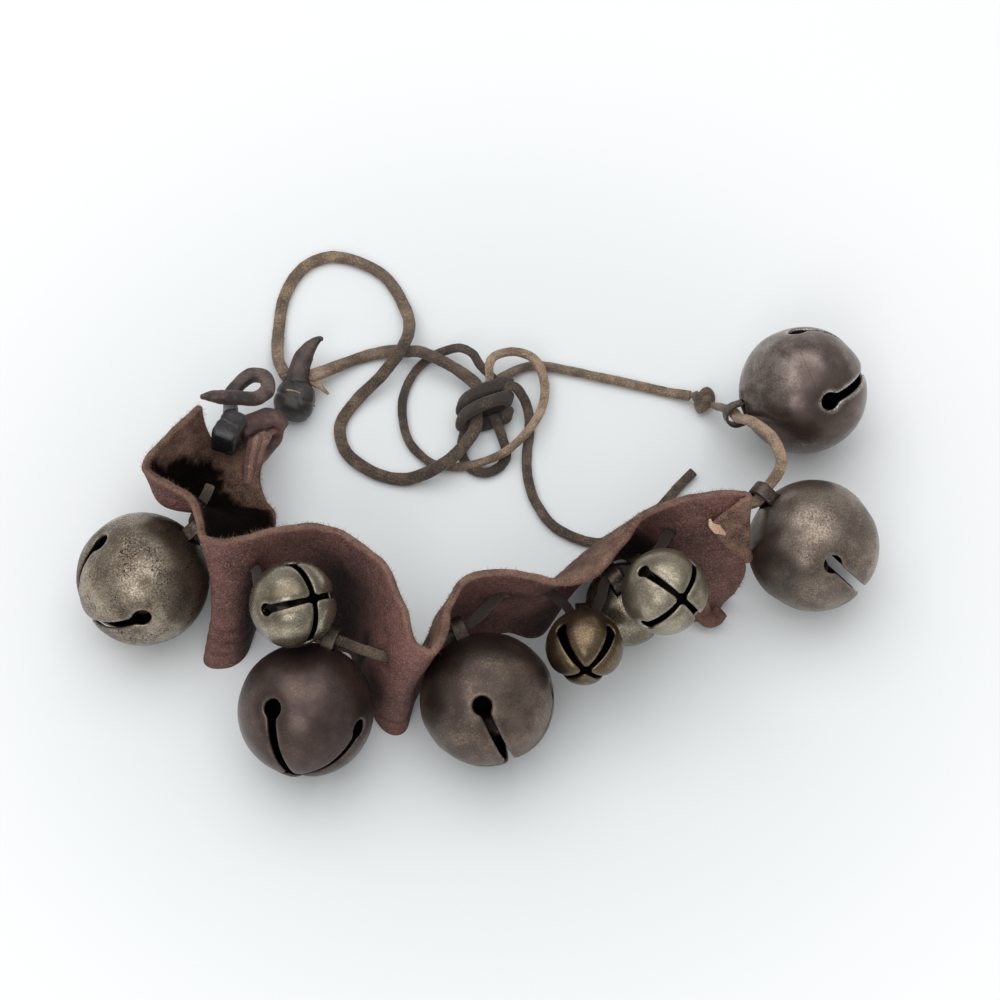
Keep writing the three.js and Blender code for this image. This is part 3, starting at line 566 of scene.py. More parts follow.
laceSettings = {
    "width": 2.7, "thickness": 1.7, "diameter": 2.5, "lieHeight": 1.25, "spacing": 0.4, "twist": 0.9,
    "twistCell": 15.0, "square": 4.0, "lumps": ((3.0, 0.1), (0.9, 0.05)), "toneNoise": (0.1, 6.0),
    "pathStep": 4, "firstSeed": 11, "seedStep": 10,
}
laceRoutes = {  # points of two numbers lie on the table; a tone of 0 is dark and one of 1 is light
    "strap_lace": {
        "points": [
            (-61.8, -8.2, 22.4), (-62.5, -10.8, 22.9), (-64.2, -13.9, 22.2), *throughEye("bell_1"),
            (-58.6, -24, 21.4), (-55, -25.6, 22.2), (-51.3, -28, 23.2), (-50.3, -32, 24.2),
            *throughEye("bell_6"), (-41.4, -39.6, 20.6), *throughEye("bell_2"), (-27, -46, 21),
            (-21, -47.4, 20.8), (-17, -46.2, 20.6), *throughEye("bell_3"), (-4.4, -37.6, 20.6),
            (-1.4, -34.4, 20.8), (2.4, -30.6, 20.8), (6.6, -29.6, 20),
            (10.6, -31.4, 18.6), (14, -34, 17.4), *throughEye("bell_7"),
            (21.2, -32.4, 18.6), *throughEye("bell_9"), *throughEye("bell_8"), (33.6, -22.4, 21.8),
            (36, -18.4, 21.9), (40, -14.6, 22), (46, -12.8, 22), (51.4, -12.6, 22.2),
        ],
        # where the lace runs in shadow behind the bells its tone drops below 0, a painted shade
        "tone": (
            (0, 0.1), (0.1, 0.05), (0.15, -0.3), (0.26, -0.3), (0.33, 0.2), (0.4, 0.25), (0.5, 0.1),
            (0.54, -0.3), (1, -0.3),
        ),
        "scale": 0.78,
    },
    "lace_bell_run": {
        "points": [
            (52.1, -12.3, 22.3), *throughEye("bell_5"), (60.2, -2.4, 21.8), (58.6, 4.6, 20.6),
            (54.4, 10, 18.2), *throughEye("bell_4"), (49.8, 19.2, 7.4), (48.2, 21.8, 3.8),
        ],
        "tone": ((0, 0.6), (0.4, 0.9), (0.7, 0.85), (1, 0.45)), "far": "knot", "scale": 0.88,
    },
    "lace_long_run": {
        "points": [
            (42.7, 25, 2.4), (38, 26.6), (30, 28.7), (22.6, 30.6), (13.6, 32.7),
            (8.6, 33.6), (4.6, 32.8), (1, 30, 2.8), (-1.4, 26.6, 4.3), (-1.6, 23.2, 4.3),
        ],
        "tone": ((0, 0.5), (0.5, 0.6), (1, 0.4)), "far": "knot", "scale": 0.85,
    },
    "lace_toggle_run": {
        "points": [
            (-42.4, 28.2, 5.8), (-37.6, 32, 3), (-31.8, 35.6), (-25.4, 37, 1.8), (-21.4, 36.4, 2.9),
            (-17.8, 35, 4.9), (-12, 32.2, 4.6), (-7.4, 29, 4.2), (-5.3, 26.6, 4.3), (-5.3, 23.2, 4.3),
        ],
        "tone": ((0, 0.6), (0.6, 0.4), (1, 0.25)), "far": "knot", "scale": 1.05,
    },
    "lace_big_loop": {
        "points": [
            (-48.3, 28.6, 6.2), (-50.2, 34, 3.6), (-50.6, 42), (-49.6, 51.4), (-46.4, 58.4), (-41.6, 62),
            (-35.6, 62.2), (-27, 57.6), (-22.2, 49.6, 1.6), (-20.6, 42.4, 4.4), (-21.6, 36.4, 6.2),
            (-26.4, 29.8, 4), (-32.6, 24, 1.6), (-35.8, 18), (-34.4, 11.6), (-28.4, 6.4), (-20.6, 4.4, 1.6),
            (-12.4, 6.6, 4.8), (-7.8, 11.4, 4.8), (-5.3, 16.4, 4.3), (-5.3, 19.4, 4.3),
        ],
        "tone": ((0, 0.55), (0.25, 0.62), (0.45, 0.42), (0.8, 0.25), (1, 0.2)), "far": "knot", "scale": 1.0,
    },
    "lace_ring_loop": {
        "points": [
            (-2.4, 22.8, 4.6), (-2.3, 25, 5.6), (-2.3, 27, 7.4), (-2.4, 29.4, 8.2), (-1.2, 33, 6.6),
            (3.4, 35, 5), (7.8, 33.2, 4.8), (10, 28.4, 3.4), (9.6, 22.2, 3.4), (6.6, 15.4, 4.7),
            (1.6, 10.4, 3.9), (-3.6, 8.4, 2.4), (-9.4, 7.6), (-15.4, 8.8), (-20, 13.4), (-21.8, 19.4),
            (-21.6, 26.4), (-18.6, 32.8), (-14.6, 36, 2), (-9.4, 36.2, 4.6), (-6.2, 33.4, 7.0),
            (-4.4, 30.2, 7.2), (-1.8, 27.6, 6.6), (0.4, 25.4, 5.4), (0.8, 23, 4.4),
        ],
        "tone": ((0, 0.75), (0.3, 0.85), (0.45, 0.5), (0.55, 0.2), (1, 0.1)), "far": "knot", "scale": 0.73,
    },
    "lace_tail": {
        "points": [
            (0.6, 24.6, 6), (3, 25.2, 6.6), (5, 23.6, 5), (6.4, 20.6, 2.6), (6.6, 17), (6, 11), (6.2, 5),
            (7.8, -1), (11.4, -6.6), (16.6, -10), (22.4, -11.2), (29, -8.6), (34.6, -3.4), (39.2, 2.2),
            (42.8, 6.2),
        ],
        "tone": ((0, 0.15), (0.5, 0.28), (0.92, 0.28), (1, 0.0)), "far": "bare", "scale": 0.8,
    },
}
napSources = []  # points, faces and tone of all that grows a suede nap


def addSoft(name, points, width, height, material, slot, spacing=None, replaced=None, seed=1, tone=0.5,
            toneNoise=(0.12, 4.0), lumps=((2.0, 0.12), (0.8, 0.06)), grows=True, **shape):
    # a lumpy strip of leather through the points, or straight along them where no spacing is given
    path = smoothPath(points, spacing) if spacing else points
    share = np.linspace(0, 1, len(path))
    points, faces, along = sweep(path, stepped(width, share), stepped(height, share), **shape)
    points = roughened(points, lumps, seed)
    points[:, 2] = np.maximum(points[:, 2], tableGap)
    amount, cell = toneNoise
    tones = stepped(tone, along / along[-1]) + amount * softNoise(points, cell, seed + 7)
    if grows:
        napSources.append((points, faces, tones))
    return makePiece(name, points, faces, material, {"tone": tones}, replaced=replaced)


def addLace(name, spec, seed):
    laid = [(*point, laceSettings["lieHeight"])[:3] for point in spec["points"]]
    path = smoothPath(laid, laceSettings["spacing"])
    wander = laceSettings["twist"] * softNoise(path, laceSettings["twistCell"], seed)
    piece = addSoft(
        name + "_suede", path, laceSettings["width"] * spec["scale"],
        laceSettings["thickness"] * spec["scale"], suede, "suede", replaced=name, seed=seed,
        tone=spec["tone"], toneNoise=laceSettings["toneNoise"], lumps=laceSettings["lumps"],
        turn=wander, square=laceSettings["square"],
    )


for number, (name, spec) in enumerate(laceRoutes.items()):
    addLace(name, spec, laceSettings["firstSeed"] + laceSettings["seedStep"] * number)
print("lace runs swept")


# Knots of the lace

slipKnot = {
    "centre": (-3.4, 25, 4.3), "turns": 2, "pitch": 3.7, "halfWidth": 5.4, "halfHeight": 3.0,
    "slant": 1.9, "steps": 160,
}
windingShape = {"width": 3.8, "height": 2.0, "across": (0.3, 1, 0), "seed": 91, "tone": -0.05}
winding = np.linspace(0, slipKnot["turns"] * 2 * math.pi, slipKnot["steps"])
windingPath = np.array(slipKnot["centre"]) + np.stack([
    slipKnot["halfWidth"] * np.cos(winding),
    slipKnot["slant"] * np.cos(winding) - slipKnot["pitch"] * winding / (2 * math.pi),
    slipKnot["halfHeight"] * np.sin(winding),
], axis=1)
addSoft("lace_slip_knot_suede", windingPath, material=suede, slot="suede", replaced="lace_slip_knot",
        **windingShape)
tieSettings = {
    "lace_bight": {
        "points": [
            (-1.3, 19.4, 3.4), (0.7, 13.8, 2.2), (1.4, 10.2, 1.3), (-0.4, 7.4, 1.2), (-3.1, 6.2, 1.2),
            (-6.2, 7.0, 1.1), (-8.4, 10.6, 1.1), (-8.4, 14.2, 1.6), (-7.4, 17.8, 2.6),
        ],
        "spacing": 0.4, "width": 2.2, "height": 1.6, "seed": 97, "tone": 0.05,
    },
    "lace_tie": {
        "points": [
            (-48.3, 28.6, 6.2), (-47.4, 27.6, 3.8), (-45.4, 27.2, 2.2), (-43.3, 27.5, 3.6),
            (-42.4, 28.2, 5.8),
        ],
        "spacing": 0.3, "width": 2.4, "height": 1.8, "seed": 103, "tone": 0.5,
    },
    "lace_tuft": {
        "points": [(-42.2, 27.6, 5.2), (-40.4, 26.4, 4.4), (-38.6, 24.9, 3.6)],
        "spacing": 0.2, "width": ((0, 2.0), (1, 0.7)), "height": ((0, 1.2), (1, 0.5)), "seed": 107,
        "tone": 0.8,
    },
}
for name, spec in tieSettings.items():
    addSoft(name + "_suede", material=suede, slot="suede", **spec)

overhand = {"centre": (45.6, 23.8, 2.9), "reach": (0.62, 0.62, 1.25), "steps": 120}
strandShape = {"width": 2.1, "height": 2.1, "closed": True, "seed": 101, "tone": 0.45}
knotTurn = np.linspace(0, 2 * math.pi, overhand["steps"], endpoint=False)
trefoil = np.stack([
    np.sin(knotTurn) + 2 * np.sin(2 * knotTurn),
    np.cos(knotTurn) - 2 * np.cos(2 * knotTurn),
    -np.sin(3 * knotTurn),
], axis=1)
addSoft("lace_knot_suede", np.array(overhand["centre"]) + trefoil * overhand["reach"], material=suede,
        slot="suede", replaced="lace_knot", **strandShape)
print("lace knots tied")


# Two skins of a sheet, joined round every open edge by a rounded lip

lipLevels = 5
slopeStep = 0.02
slideLimits = {"slope": 0.1, "step": 0.5}


def gridQuads(columns, rows):
    column, row = (grid.ravel() for grid in np.meshgrid(np.arange(columns), np.arange(rows)))
    corner = column * (rows + 1) + row
    return np.stack([corner, corner + rows + 1, corner + rows + 2, corner + 1], axis=1)


def openEdges(quads):
    edges = np.concatenate([quads[:, [k, (k + 1) % 4]] for k in range(4)])
    low, high = edges.min(axis=1), edges.max(axis=1)
    key = low.astype(np.int64) * (high.max() + 1) + high
    _, where, counts = np.unique(key, return_inverse=True, return_counts=True)
    return edges[counts[where] == 1]


def joinSkins(middles, normals, thickness, quads, push):
    # points, faces, the sheet's spot behind each point, and 0 for the front skin to 1 for the back one
    front, back = middles + normals * thickness[0], middles - normals * thickness[1]
    edges = openEdges(quads)
    used, rim = np.unique(quads), np.unique(edges)
    index = np.full(len(front), -1)
    index[used] = np.arange(len(used))
    rimIndex = np.full(len(front), -1)
    rimIndex[rim] = np.arange(len(rim))
    middle, half = (front[rim] + back[rim]) / 2, (front[rim] - back[rim]) / 2
    points, origin = [front[used], back[used]], [used, used]
    skin = [np.zeros(len(used)), np.ones(len(used))]
    for level in range(1, lipLevels):
        swing = math.pi * level / lipLevels
        points.append(middle + half * math.cos(swing) + push[rim] * math.sin(swing))
        origin.append(rim)
        skin.append(np.full(len(rim), level / lipLevels))

    def ring(level, ends):
        if level in (0, lipLevels):
            return index[ends] + (len(used) if level else 0)
        return 2 * len(used) + (level - 1) * len(rim) + rimIndex[ends]

    faces = [index[quads], index[quads][:, ::-1] + len(used)]
    start, end = edges[:, 0], edges[:, 1]
    for level in range(lipLevels):
        corners = [ring(level, end), ring(level, start), ring(level + 1, start), ring(level + 1, end)]
        faces.append(np.stack(corners, axis=1))
    return np.concatenate(points), np.concatenate(faces), np.concatenate(origin), np.concatenate(skin)


def slopeOf(field, spots, normals):
    # how fast the field rises along the sheet
    here = field(spots)
    slope = np.stack([(field(spots + step) - here) / slopeStep for step in np.eye(3) * slopeStep], axis=1)
    return here, slope - normals * (slope * normals).sum(axis=1, keepdims=True)


def slideTo(field, spots, normals, wanted):
    here, slope = slopeOf(field, spots, normals)
    step = (wanted - here) / np.maximum((slope ** 2).sum(axis=1), slideLimits["slope"])
    return spots + slope * np.clip(step, -slideLimits["step"], slideLimits["step"])[:, None]


# Bell shells, shanks and pellets, in each bell's own frame with its eye up and its mouth down

largeShape = {
    "radius": 14.3, "wall": 0.8, "slot": 2.1, "pinch": 1.0, "round": 0.9, "keyhole": 4.2,
    "keyholeAngle": 78, "bend": 0.3, "bendReach": 1.6, "columns": 192, "rows": 48, "pellet": 7,
}
silverShape = {
    "radius": 9.15, "wall": 0.6, "slot": 1.9, "pinch": 0.6, "round": 0.9, "keyhole": 2.9,
    "keyholeAngle": 74, "bend": 0.42, "bendReach": 1.1, "columns": 150, "rows": 76, "pellet": 5,
}
brassShape = {
    **silverShape, "radius": 8.2, "slot": 2.8, "pinch": 0.36, "keyhole": 3.1, "keyholeAngle": 86,
    "bend": 0.5, "columns": 140, "rows": 72,
}
shankShape = {
    "eye": 1.95, "lift": 1.7, "thickness": 0.7, "width": 3.0, "clinch": 1.4, "play": 0.3, "spacing": 0.3,
    "sides": 20, "square": 6.0, "lumps": ((2.5, 0.06),), "wear": 0.35, "neck": 0.6, "heel": 0.7,
    "instep": (0.35, 0.15), "archStep": 20,
}
pelletShape = {
    "play": 0.32, "dents": 0.08, "dentCell": 1.5, "dentScale": 4, "mould": 0.1, "mouldWidth": 0.06,
    "subdivisions": 3,
}
shellShape = {
    "poleGap": 0.5, "seamGap": 0.02, "seamBand": 0.1, "seamRoom": 0.3, "rimRow": 0.2, "dents": 0.12,
    "dentCell": 6.5, "fineDents": 0.3, "fineCell": 2.2, "keyholeBlend": 0.4, "bendBelow": 0.45,
    "petalPower": 1.3, "slides": 6, "firstSeed": 300, "seedStep": 10,
}
shellMarks = {
    "rimReach": 0.25, "outside": 0.75, "insideFrom": 0.55, "insideTo": 0.95, "lip": (0.3, 0.7, 0.6),
}
petalShift = {  # how far each of the four petals stands out
    "bell_2": (0, 0, -0.5, 0), "bell_3": (0.1, -0.3, -0.6, -0.3), "bell_5": (0, 0.15, 0, -0.2),
    "bell_6": (0, -0.2, -0.1, 0), "bell_7": (-0.2, 0, -0.2, -0.2), "bell_8": (0, -0.1, -0.2, -0.1),
}
patchShape = {"rag": 0.35, "ragCell": 4.0, "from": 0.35, "to": 0.85}


def slotView(spots, askew):
    # the spots as seen from slots cut a little askew to the shank
    pole = unit((math.tan(math.radians(askew[0])), math.tan(math.radians(askew[1])), -1))
    run = unit(np.array((1, 0, 0)) - pole * pole[0])
    return spots @ np.array((run, np.cross(-pole, run), -pole)).T


def acrossSlots(seen, turn):
    headings = [math.radians(turn + quarter) for quarter in (0, 90)]
    return [seen[:, 0] * math.cos(heading) + seen[:, 1] * math.sin(heading) for heading in headings]


def smoothLeast(first, second, blend):
    closeness = np.maximum(blend - np.abs(first - second), 0) / blend
    return np.minimum(first, second) - closeness ** 2 * blend / 4


def openingGap(spots, shape, turn, askew):
    # distance to the nearest edge of a slot, a keyhole or the legs' slot, below zero inside one
    play = shankShape["play"]
    aside = np.abs(spots[:, 0]) - shankShape["width"] / 2 - play
    ahead = np.abs(spots[:, 1]) - shankShape["eye"] - shankShape["thickness"] - play
    legs = np.where(spots[:, 2] > 0, np.maximum(aside, ahead), farAway)
    seen = slotView(spots, askew)
    keyholeAngle = math.radians(shape["keyholeAngle"])
    rise = seen[:, 2] + shape["radius"] * math.cos(keyholeAngle)
    openness = np.clip(np.arccos(np.clip(-seen[:, 2] / shape["radius"], -1, 1)) / keyholeAngle, 0, 1)
    halfWidth = shape["slot"] / 2 * (shape["pinch"] + (1 - shape["pinch"]) * openness)
    slots, keyholes = [], []
    for across in acrossSlots(seen, turn):
        slots.append(np.maximum(np.abs(across) - halfWidth, rise))
        keyholes.append(np.hypot(across, rise) - shape["keyhole"] / 2)
    slot = smoothLeast(*slots, shape["round"])
    return np.minimum(legs, smoothLeast(slot, np.minimum(*keyholes), shellShape["keyholeBlend"]))


def petalOffset(name, outward, shape, turn, askew):
    # petals that stand a little out or in, most at their points
    seen = slotView(outward, askew)
    first, second = acrossSlots(seen, turn)
    petal = (first > 0) * 2 + (second > 0)
    polar = np.degrees(np.arccos(np.clip(-seen[:, 2], -1, 1)))
    shifts = np.array(petalShift.get(name, (0, 0, 0, 0)))[petal]
    return shifts * np.clip(1 - polar / shape["keyholeAngle"], 0, 1) ** shellShape["petalPower"]


def sidePatch(name, outward, radius, toward, amount, seed):
    # where the shell faces one way, fading out raggedly
    rag = patchShape["rag"] * softNoise(outward * radius, patchShape["ragCell"], seed)
    facing = (outward @ bells[name]["axes"]) @ unit(toward) + rag
    return amount * ramp(facing, patchShape["from"], patchShape["to"])


def shellPart(name, shape, look, fromAngle, toAngle, seed):
    radius, wall, columns, rows = (shape[key] for key in ("radius", "wall", "columns", "rows"))
    turn, askew = look["turn"], look.get("askew", (0, 0))
    lip = wall / 2
    angles = np.linspace(fromAngle, toAngle, rows + 1)
    if "shape" not in look:
        # a fine row along the rim of a half keeps the shading even up to the seam
        rim = toAngle - shellShape["rimRow"] if fromAngle < 90 else fromAngle + shellShape["rimRow"]
        angles = np.sort(np.append(np.linspace(fromAngle, toAngle, rows), rim))
    polar = np.repeat(np.radians(angles), columns)
    around = np.tile(np.arange(columns) / columns * 2 * math.pi, rows + 1)
    ring = np.sin(polar)
    outward = np.stack([ring * np.cos(around), ring * np.sin(around), -np.cos(polar)], axis=1)
    column, row = (grid.ravel() for grid in np.meshgrid(np.arange(columns), np.arange(rows)))
    here, above, ahead = row * columns, (row + 1) * columns, (column + 1) % columns
    quads = np.stack([here + column, here + ahead, above + ahead, above + column], axis=1)

    def field(spots):
        return openingGap(unit(spots) * radius, shape, turn, askew)

    quads = quads[field(outward[quads].mean(axis=1)) > lip]
    edge = np.unique(openEdges(quads))
    onSeam = np.isin(edge // columns, (0, rows)) & (np.abs(outward[edge, 2]) < shellShape["seamBand"])
    sliding = edge[~(onSeam & (field(outward[edge]) > lip + shellShape["seamRoom"]))]
    for _ in range(shellShape["slides"]):
        outward[sliding] = unit(slideTo(field, outward[sliding] * radius, outward[sliding], lip))
    push = np.zeros_like(outward)
    push[sliding] = -unit(slopeOf(field, outward[sliding] * radius, outward[sliding])[1]) * lip
    spots = outward * radius
    beyond = np.maximum(field(spots) - lip, 0)
    dents = shellShape["dents"]
    swell = dents * (softNoise(spots, shellShape["dentCell"], seed) - 1)
    swell += shellShape["fineDents"] * dents * (softNoise(spots, shellShape["fineCell"], seed + 1) - 1)
    bent = outward[:, 2] < shellShape["bendBelow"]
    swell -= shape["bend"] * np.exp(-beyond / shape["bendReach"]) * bent
    swell += petalOffset(name, outward, shape, turn, askew)
    pressed = outward * (radius + swell)[:, None]
    points, faces, origin, skin = joinSkins(pressed, outward, (0, wall), quads, push)
    outside = skin < shellMarks["outside"]
    wear = np.where(outside, np.exp(-beyond / shellMarks["rimReach"])[origin], 0)
    amount, away, reach = shellMarks["lip"]
    lipShade = amount * np.exp(-np.abs(field(spots) - lip - away) / reach)
    # the inside of the shell and a band along the slot lips are painted darker, a painted shade
    inside = np.maximum(ramp(skin, shellMarks["insideFrom"], shellMarks["insideTo"]), lipShade[origin])
    # some sides are painted darker: grime, and painted shade where less light falls
    if "grimeAndShade" in look:
        inside = np.maximum(inside, sidePatch(name, outward, radius, *look["grimeAndShade"], seed + 3)[origin])
    # some sides get more bare metal: rubbed wear, and a painted highlight
    if "rubAndHighlight" in look:
        rubAndHighlight = sidePatch(name, outward, radius, *look["rubAndHighlight"], seed + 5)[origin]
        wear = np.maximum(wear, np.where(outside, rubAndHighlight, 0))
    return bells[name]["centre"] + points @ bells[name]["axes"], faces, {"wear": wear, "inside": inside}


def shankPath(shape):
    # up one leg from its clinched foot, over the eye and down the other leg
    thickness, width = shankShape["thickness"], shankShape["width"]
    middle = shankShape["eye"] + thickness / 2
    toe = middle + thickness / 2 + shankShape["clinch"]
    eyeHeight = shape["radius"] + shankShape["lift"]
    inner = shape["radius"] - shape["wall"]
    foot = math.sqrt(inner ** 2 - toe ** 2 - (width / 2) ** 2) - shankShape["play"] - thickness / 2
    out, up = shankShape["instep"]
    heel = shankShape["heel"]
    leg = [(toe, foot), (toe - heel, foot), (middle + out, foot + up), (middle, foot + heel),
           (middle, eyeHeight - shankShape["neck"])]
    arch = []
    for angle in np.radians(np.arange(0, 181, shankShape["archStep"])):
        arch.append((middle * math.cos(angle), eyeHeight + middle * math.sin(angle)))
    return [(0, y, z) for y, z in leg + arch] + [(0, -y, z) for y, z in reversed(leg)]


def addShank(name, shape, seed):
    path = smoothPath(shankPath(shape), shankShape["spacing"])
    points, faces, _ = sweep(path, shankShape["width"], shankShape["thickness"], sides=shankShape["sides"],
                             square=shankShape["square"], across=(1, 0, 0))
    points = roughened(points, shankShape["lumps"], seed)
    within = np.clip((shape["radius"] - points[:, 2]) / shape["wall"], 0, 1)
    placed = bells[name]["centre"] + points @ bells[name]["axes"]
    # the legs inside the shell are painted darker, a painted shade
    marks = {"wear": shankShape["wear"] * (1 - within), "inside": within}
    makePiece(name + "_shank_metal", placed, faces, shankMetal, marks, name,
              name + "_shank")


def ballMesh(subdivisions):
    made = bmesh.new()
    bmesh.ops.create_icosphere(made, subdivisions=subdivisions, radius=1)
    outward = unit(np.array([vertex.co for vertex in made.verts]))
    faces = [[vertex.index for vertex in face.verts] for face in made.faces]
    made.free()
    return outward, faces


def addPellet(name, shape, seed):
    # a cast iron ball with its mould line and dents
    low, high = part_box(name + "_pellet")
    outward, faces = ballMesh(pelletShape["subdivisions"])
    spots = outward * pelletShape["dentScale"]
    dents = pelletShape["dents"] * softNoise(spots, pelletShape["dentCell"], seed)
    mould = pelletShape["mould"] * np.exp(-(outward[:, 0] / pelletShape["mouldWidth"]) ** 2)
    radius = shape["pellet"] / 2 - pelletShape["play"] + dents + mould
    points = toLayout((low + high) / 2) + outward * radius[:, None]
    makePiece(name + "_pellet_steel", points, faces, pelletSteel, {"wear": 0, "inside": 0},
              name + "_pellet", name + "_pellet")


metalFields = ("tarnish", "scuff", "bare", "cover", "wear", "pits", "shine")


def metalLook(*values):
    return dict(zip(metalFields, values))


metalLooks = {
    "silver": metalLook((112, 99, 86), (140, 127, 110), (182, 170, 152), 0.25, 0.5, 1.0, 0.3),
    "grey": metalLook((114, 100, 92), (134, 120, 108), (164, 151, 135), 0.25, 0.5, 0.45, 0.3),
    "small": metalLook((124, 114, 96), (152, 143, 124), (186, 178, 158), 0.2, 0.5, 0.35, 0.2),
    "bright": metalLook((134, 125, 106), (158, 149, 130), (188, 181, 162), 0.2, 0.5, 0.35, 0.3),
    "brass": metalLook((88, 73, 55), (107, 90, 69), (144, 123, 94), 0.15, 0.5, 0.25, 0.22),
    "dusk": metalLook((74, 61, 59), (91, 76, 70), (130, 114, 102), 0.03, 0.4, 0.2, 0.3),
    "paler": metalLook((96, 82, 77), (118, 103, 96), (206, 196, 188), -0.02, 0.9, 0.2, 0.22),
    "flecked": metalLook((88, 75, 70), (106, 91, 82), (152, 136, 120), 0.13, 0.4, 0.2, 0.3),
}
bellLooks = {  # how the slots are turned and askew, which sides are darkened by grime and painted shade, which get rubbed wear and a painted highlight, and how much
    "bell_1": {
        "metal": "silver", "slot": "bell_silver", "turn": 55, "askew": (-6.4, -10.9),
        "grimeAndShade": ((0.8, 0.5, 0.3), 0.6),
    },
    "bell_2": {"metal": "dusk", "slot": "bell_brown", "turn": 71.3, "askew": (12.1, -12.9)},
    # bell_3's darker top and brighter right flank are painted shade and a painted highlight
    "bell_3": {
        "metal": "flecked", "slot": "bell_brown", "turn": 74.1, "askew": (-3.8, -10.2),
        "grimeAndShade": ((-0.2, 0.55, 0.8), 0.6), "rubAndHighlight": ((0.9, -0.3, 0.4), 1.0),
    },
    "bell_4": {
        "metal": "paler", "slot": "bell_brown", "turn": 4.3, "askew": (-2.1, -2.5),
        "grimeAndShade": ((0, -0.9, -0.1), 0.3), "rubAndHighlight": ((-0.75, 0.4, 0.5), 0.3),
    },
    "bell_5": {
        "metal": "grey", "slot": "bell_silver", "turn": 65.2, "askew": (1.6, -4.5),
        "grimeAndShade": ((-0.9, -0.4, 0.1), 0.62),
    },
    "bell_6": {
        "metal": "small", "slot": "small_silver", "shape": silverShape, "turn": 29.4, "askew": (1.5, -4.6),
        "grimeAndShade": ((-0.5, 0.75, 0.2), 0.5),
    },
    "bell_7": {
        "metal": "brass", "slot": "small_brass", "shape": brassShape, "turn": 52,
        "grimeAndShade": ((-0.9, 0.1, 0.1), 0.35),
    },
    "bell_8": {
        "metal": "bright", "slot": "small_silver", "shape": silverShape, "turn": 67.2,
        "askew": (2.5, -20.3), "grimeAndShade": ((-0.8, 0.5, 0.1), 0.4),
    },
    "bell_9": {"metal": "small", "slot": "small_silver", "shape": silverShape, "turn": 20},
}
shankLook = metalLook((60, 51, 45), (84, 73, 65), (160, 148, 132), 0.12, 0.4, 0.2, 0.4)
pelletLook = metalLook((66, 58, 54), (88, 78, 72), (120, 112, 104), 0.1, 0.0, 0.2, 0.45)
shankMetal = metalMaterial("shankMetal", shankLook)
pelletSteel = metalMaterial("pelletSteel", pelletLook)

for number, (name, look) in enumerate(bellLooks.items()):
    seed = shellShape["firstSeed"] + shellShape["seedStep"] * number
    shape = look.get("shape", largeShape)
    seamAngle = math.degrees(shellShape["seamGap"] / 2 / shape["radius"])
    bottom, top = shellShape["poleGap"], 180 - shellShape["poleGap"]
    if "shape" in look:
        parts = {"shell": (bottom, top)}  # the small bells are folded from one piece
    else:
        parts = {"mouth_half": (bottom, 90 - seamAngle), "crown_half": (90 + seamAngle, top)}
    for part, angles in parts.items():
        nodeName = f"{name}_{part}"
        points, faces, marks = shellPart(name, shape, look, *angles, seed)
        metal = metalMaterial(nodeName, metalLooks[look["metal"]])
        makePiece(nodeName + "_metal", points, faces, metal, marks, name, nodeName)
    addShank(name, shape, seed)
    addPellet(name, shape, seed)
print("bells pressed, shanked and filled")


# Strap: a leather strip through its stations, gathered into folds, with holes for the lace and the thong

strapSettings = {
    "thickness": 1.6, "columns": 352, "rows": 58, "wrinkles": ((7.5, 0.4), (2.6, 0.14)),
    "flat": (0.034, 0.205), "laceHole": 1.25, "thongHole": 1.3, "holeLip": 0.2, "holeSlides": 4,
    "edgeLip": 0.45, "ragged": 0.35, "raggedFrom": 0.8, "raggedCell": 3.0, "raggedSeed": 57, "clear": 1.2,
    "napClear": 2.3, "tableGap": 0.02, "nudge": 0.004, "heldSpacing": 0.5, "width": 33, "length": 200,
    "frayReach": 0.5, "fleshFrom": 0.1, "fleshTo": 0.6, "edgeClean": 0.7, "edgeNap": 1.3,
}
thongHitchPoints = [
    (-56.6, 7.6, 18.6), (-53.1, 11.3, 15.5), (-50.5, 13.8, 13), (-48.6, 13.9, 11), (-48.4, 13, 9.3),
    (-49.8, 11.6, 8), (-51.6, 9.2, 8), (-52.8, 6.4, 9), (-53.6, 4.4, 10.8),
]
strapTops = [
    (-64.6, 9.2, 26), (-71.9, -1, 29), (-74.6, -7, 30), (-70.2, -11.6, 31), (-64.7, -15.9, 32),
    (-62.4, -21, 32), (-61.3, -25, 32), (-57, -25.8, 32), (-51.7, -24.8, 32), (-46, -23, 32),
    (-39, -22.6, 32), (-31.1, -25, 32), (-23.7, -32, 32), (-19.6, -41.2, 32), (-17.8, -47.9, 30.5),
    (-13.8, -50.4, 30), (-10.9, -45.5, 30.5),
    (-10.4, -39.8, 31.5), (-6.6, -34.2, 32), (2.1, -33, 32), (11.5, -34.8, 31), (19.4, -32.3, 29.5),
    (26, -23.9, 29.5), (30.8, -18.5, 31), (39.6, -16, 32), (45.5, -15, 32.5), (50.7, -15, 32.5),
]
strapFoot = -0.4
strapBottoms = [(*point, strapFoot)[:3] for point in (
    (-51.7, 4.3, 16), (-52.5, -1.8, 14), (-51.3, -5.6, 11), (-49.2, -8.5, 8), (-52, -16, 3), (-57.5, -26),
    (-63.2, -38), (-59.4, -40), (-55.2, -37.2), (-51, -27), (-42, -26), (-33, -31), (-28, -40),
    (-27.3, -47.9), (-24.2, -54), (-20.9, -54.7), (-19, -48), (-15, -40.5), (-9, -34), (0, -31),
    (6, -27.5), (12, -23), (19.5, -18), (28, -14), (37, -27), (44, -28.5), (51, -24),
)]
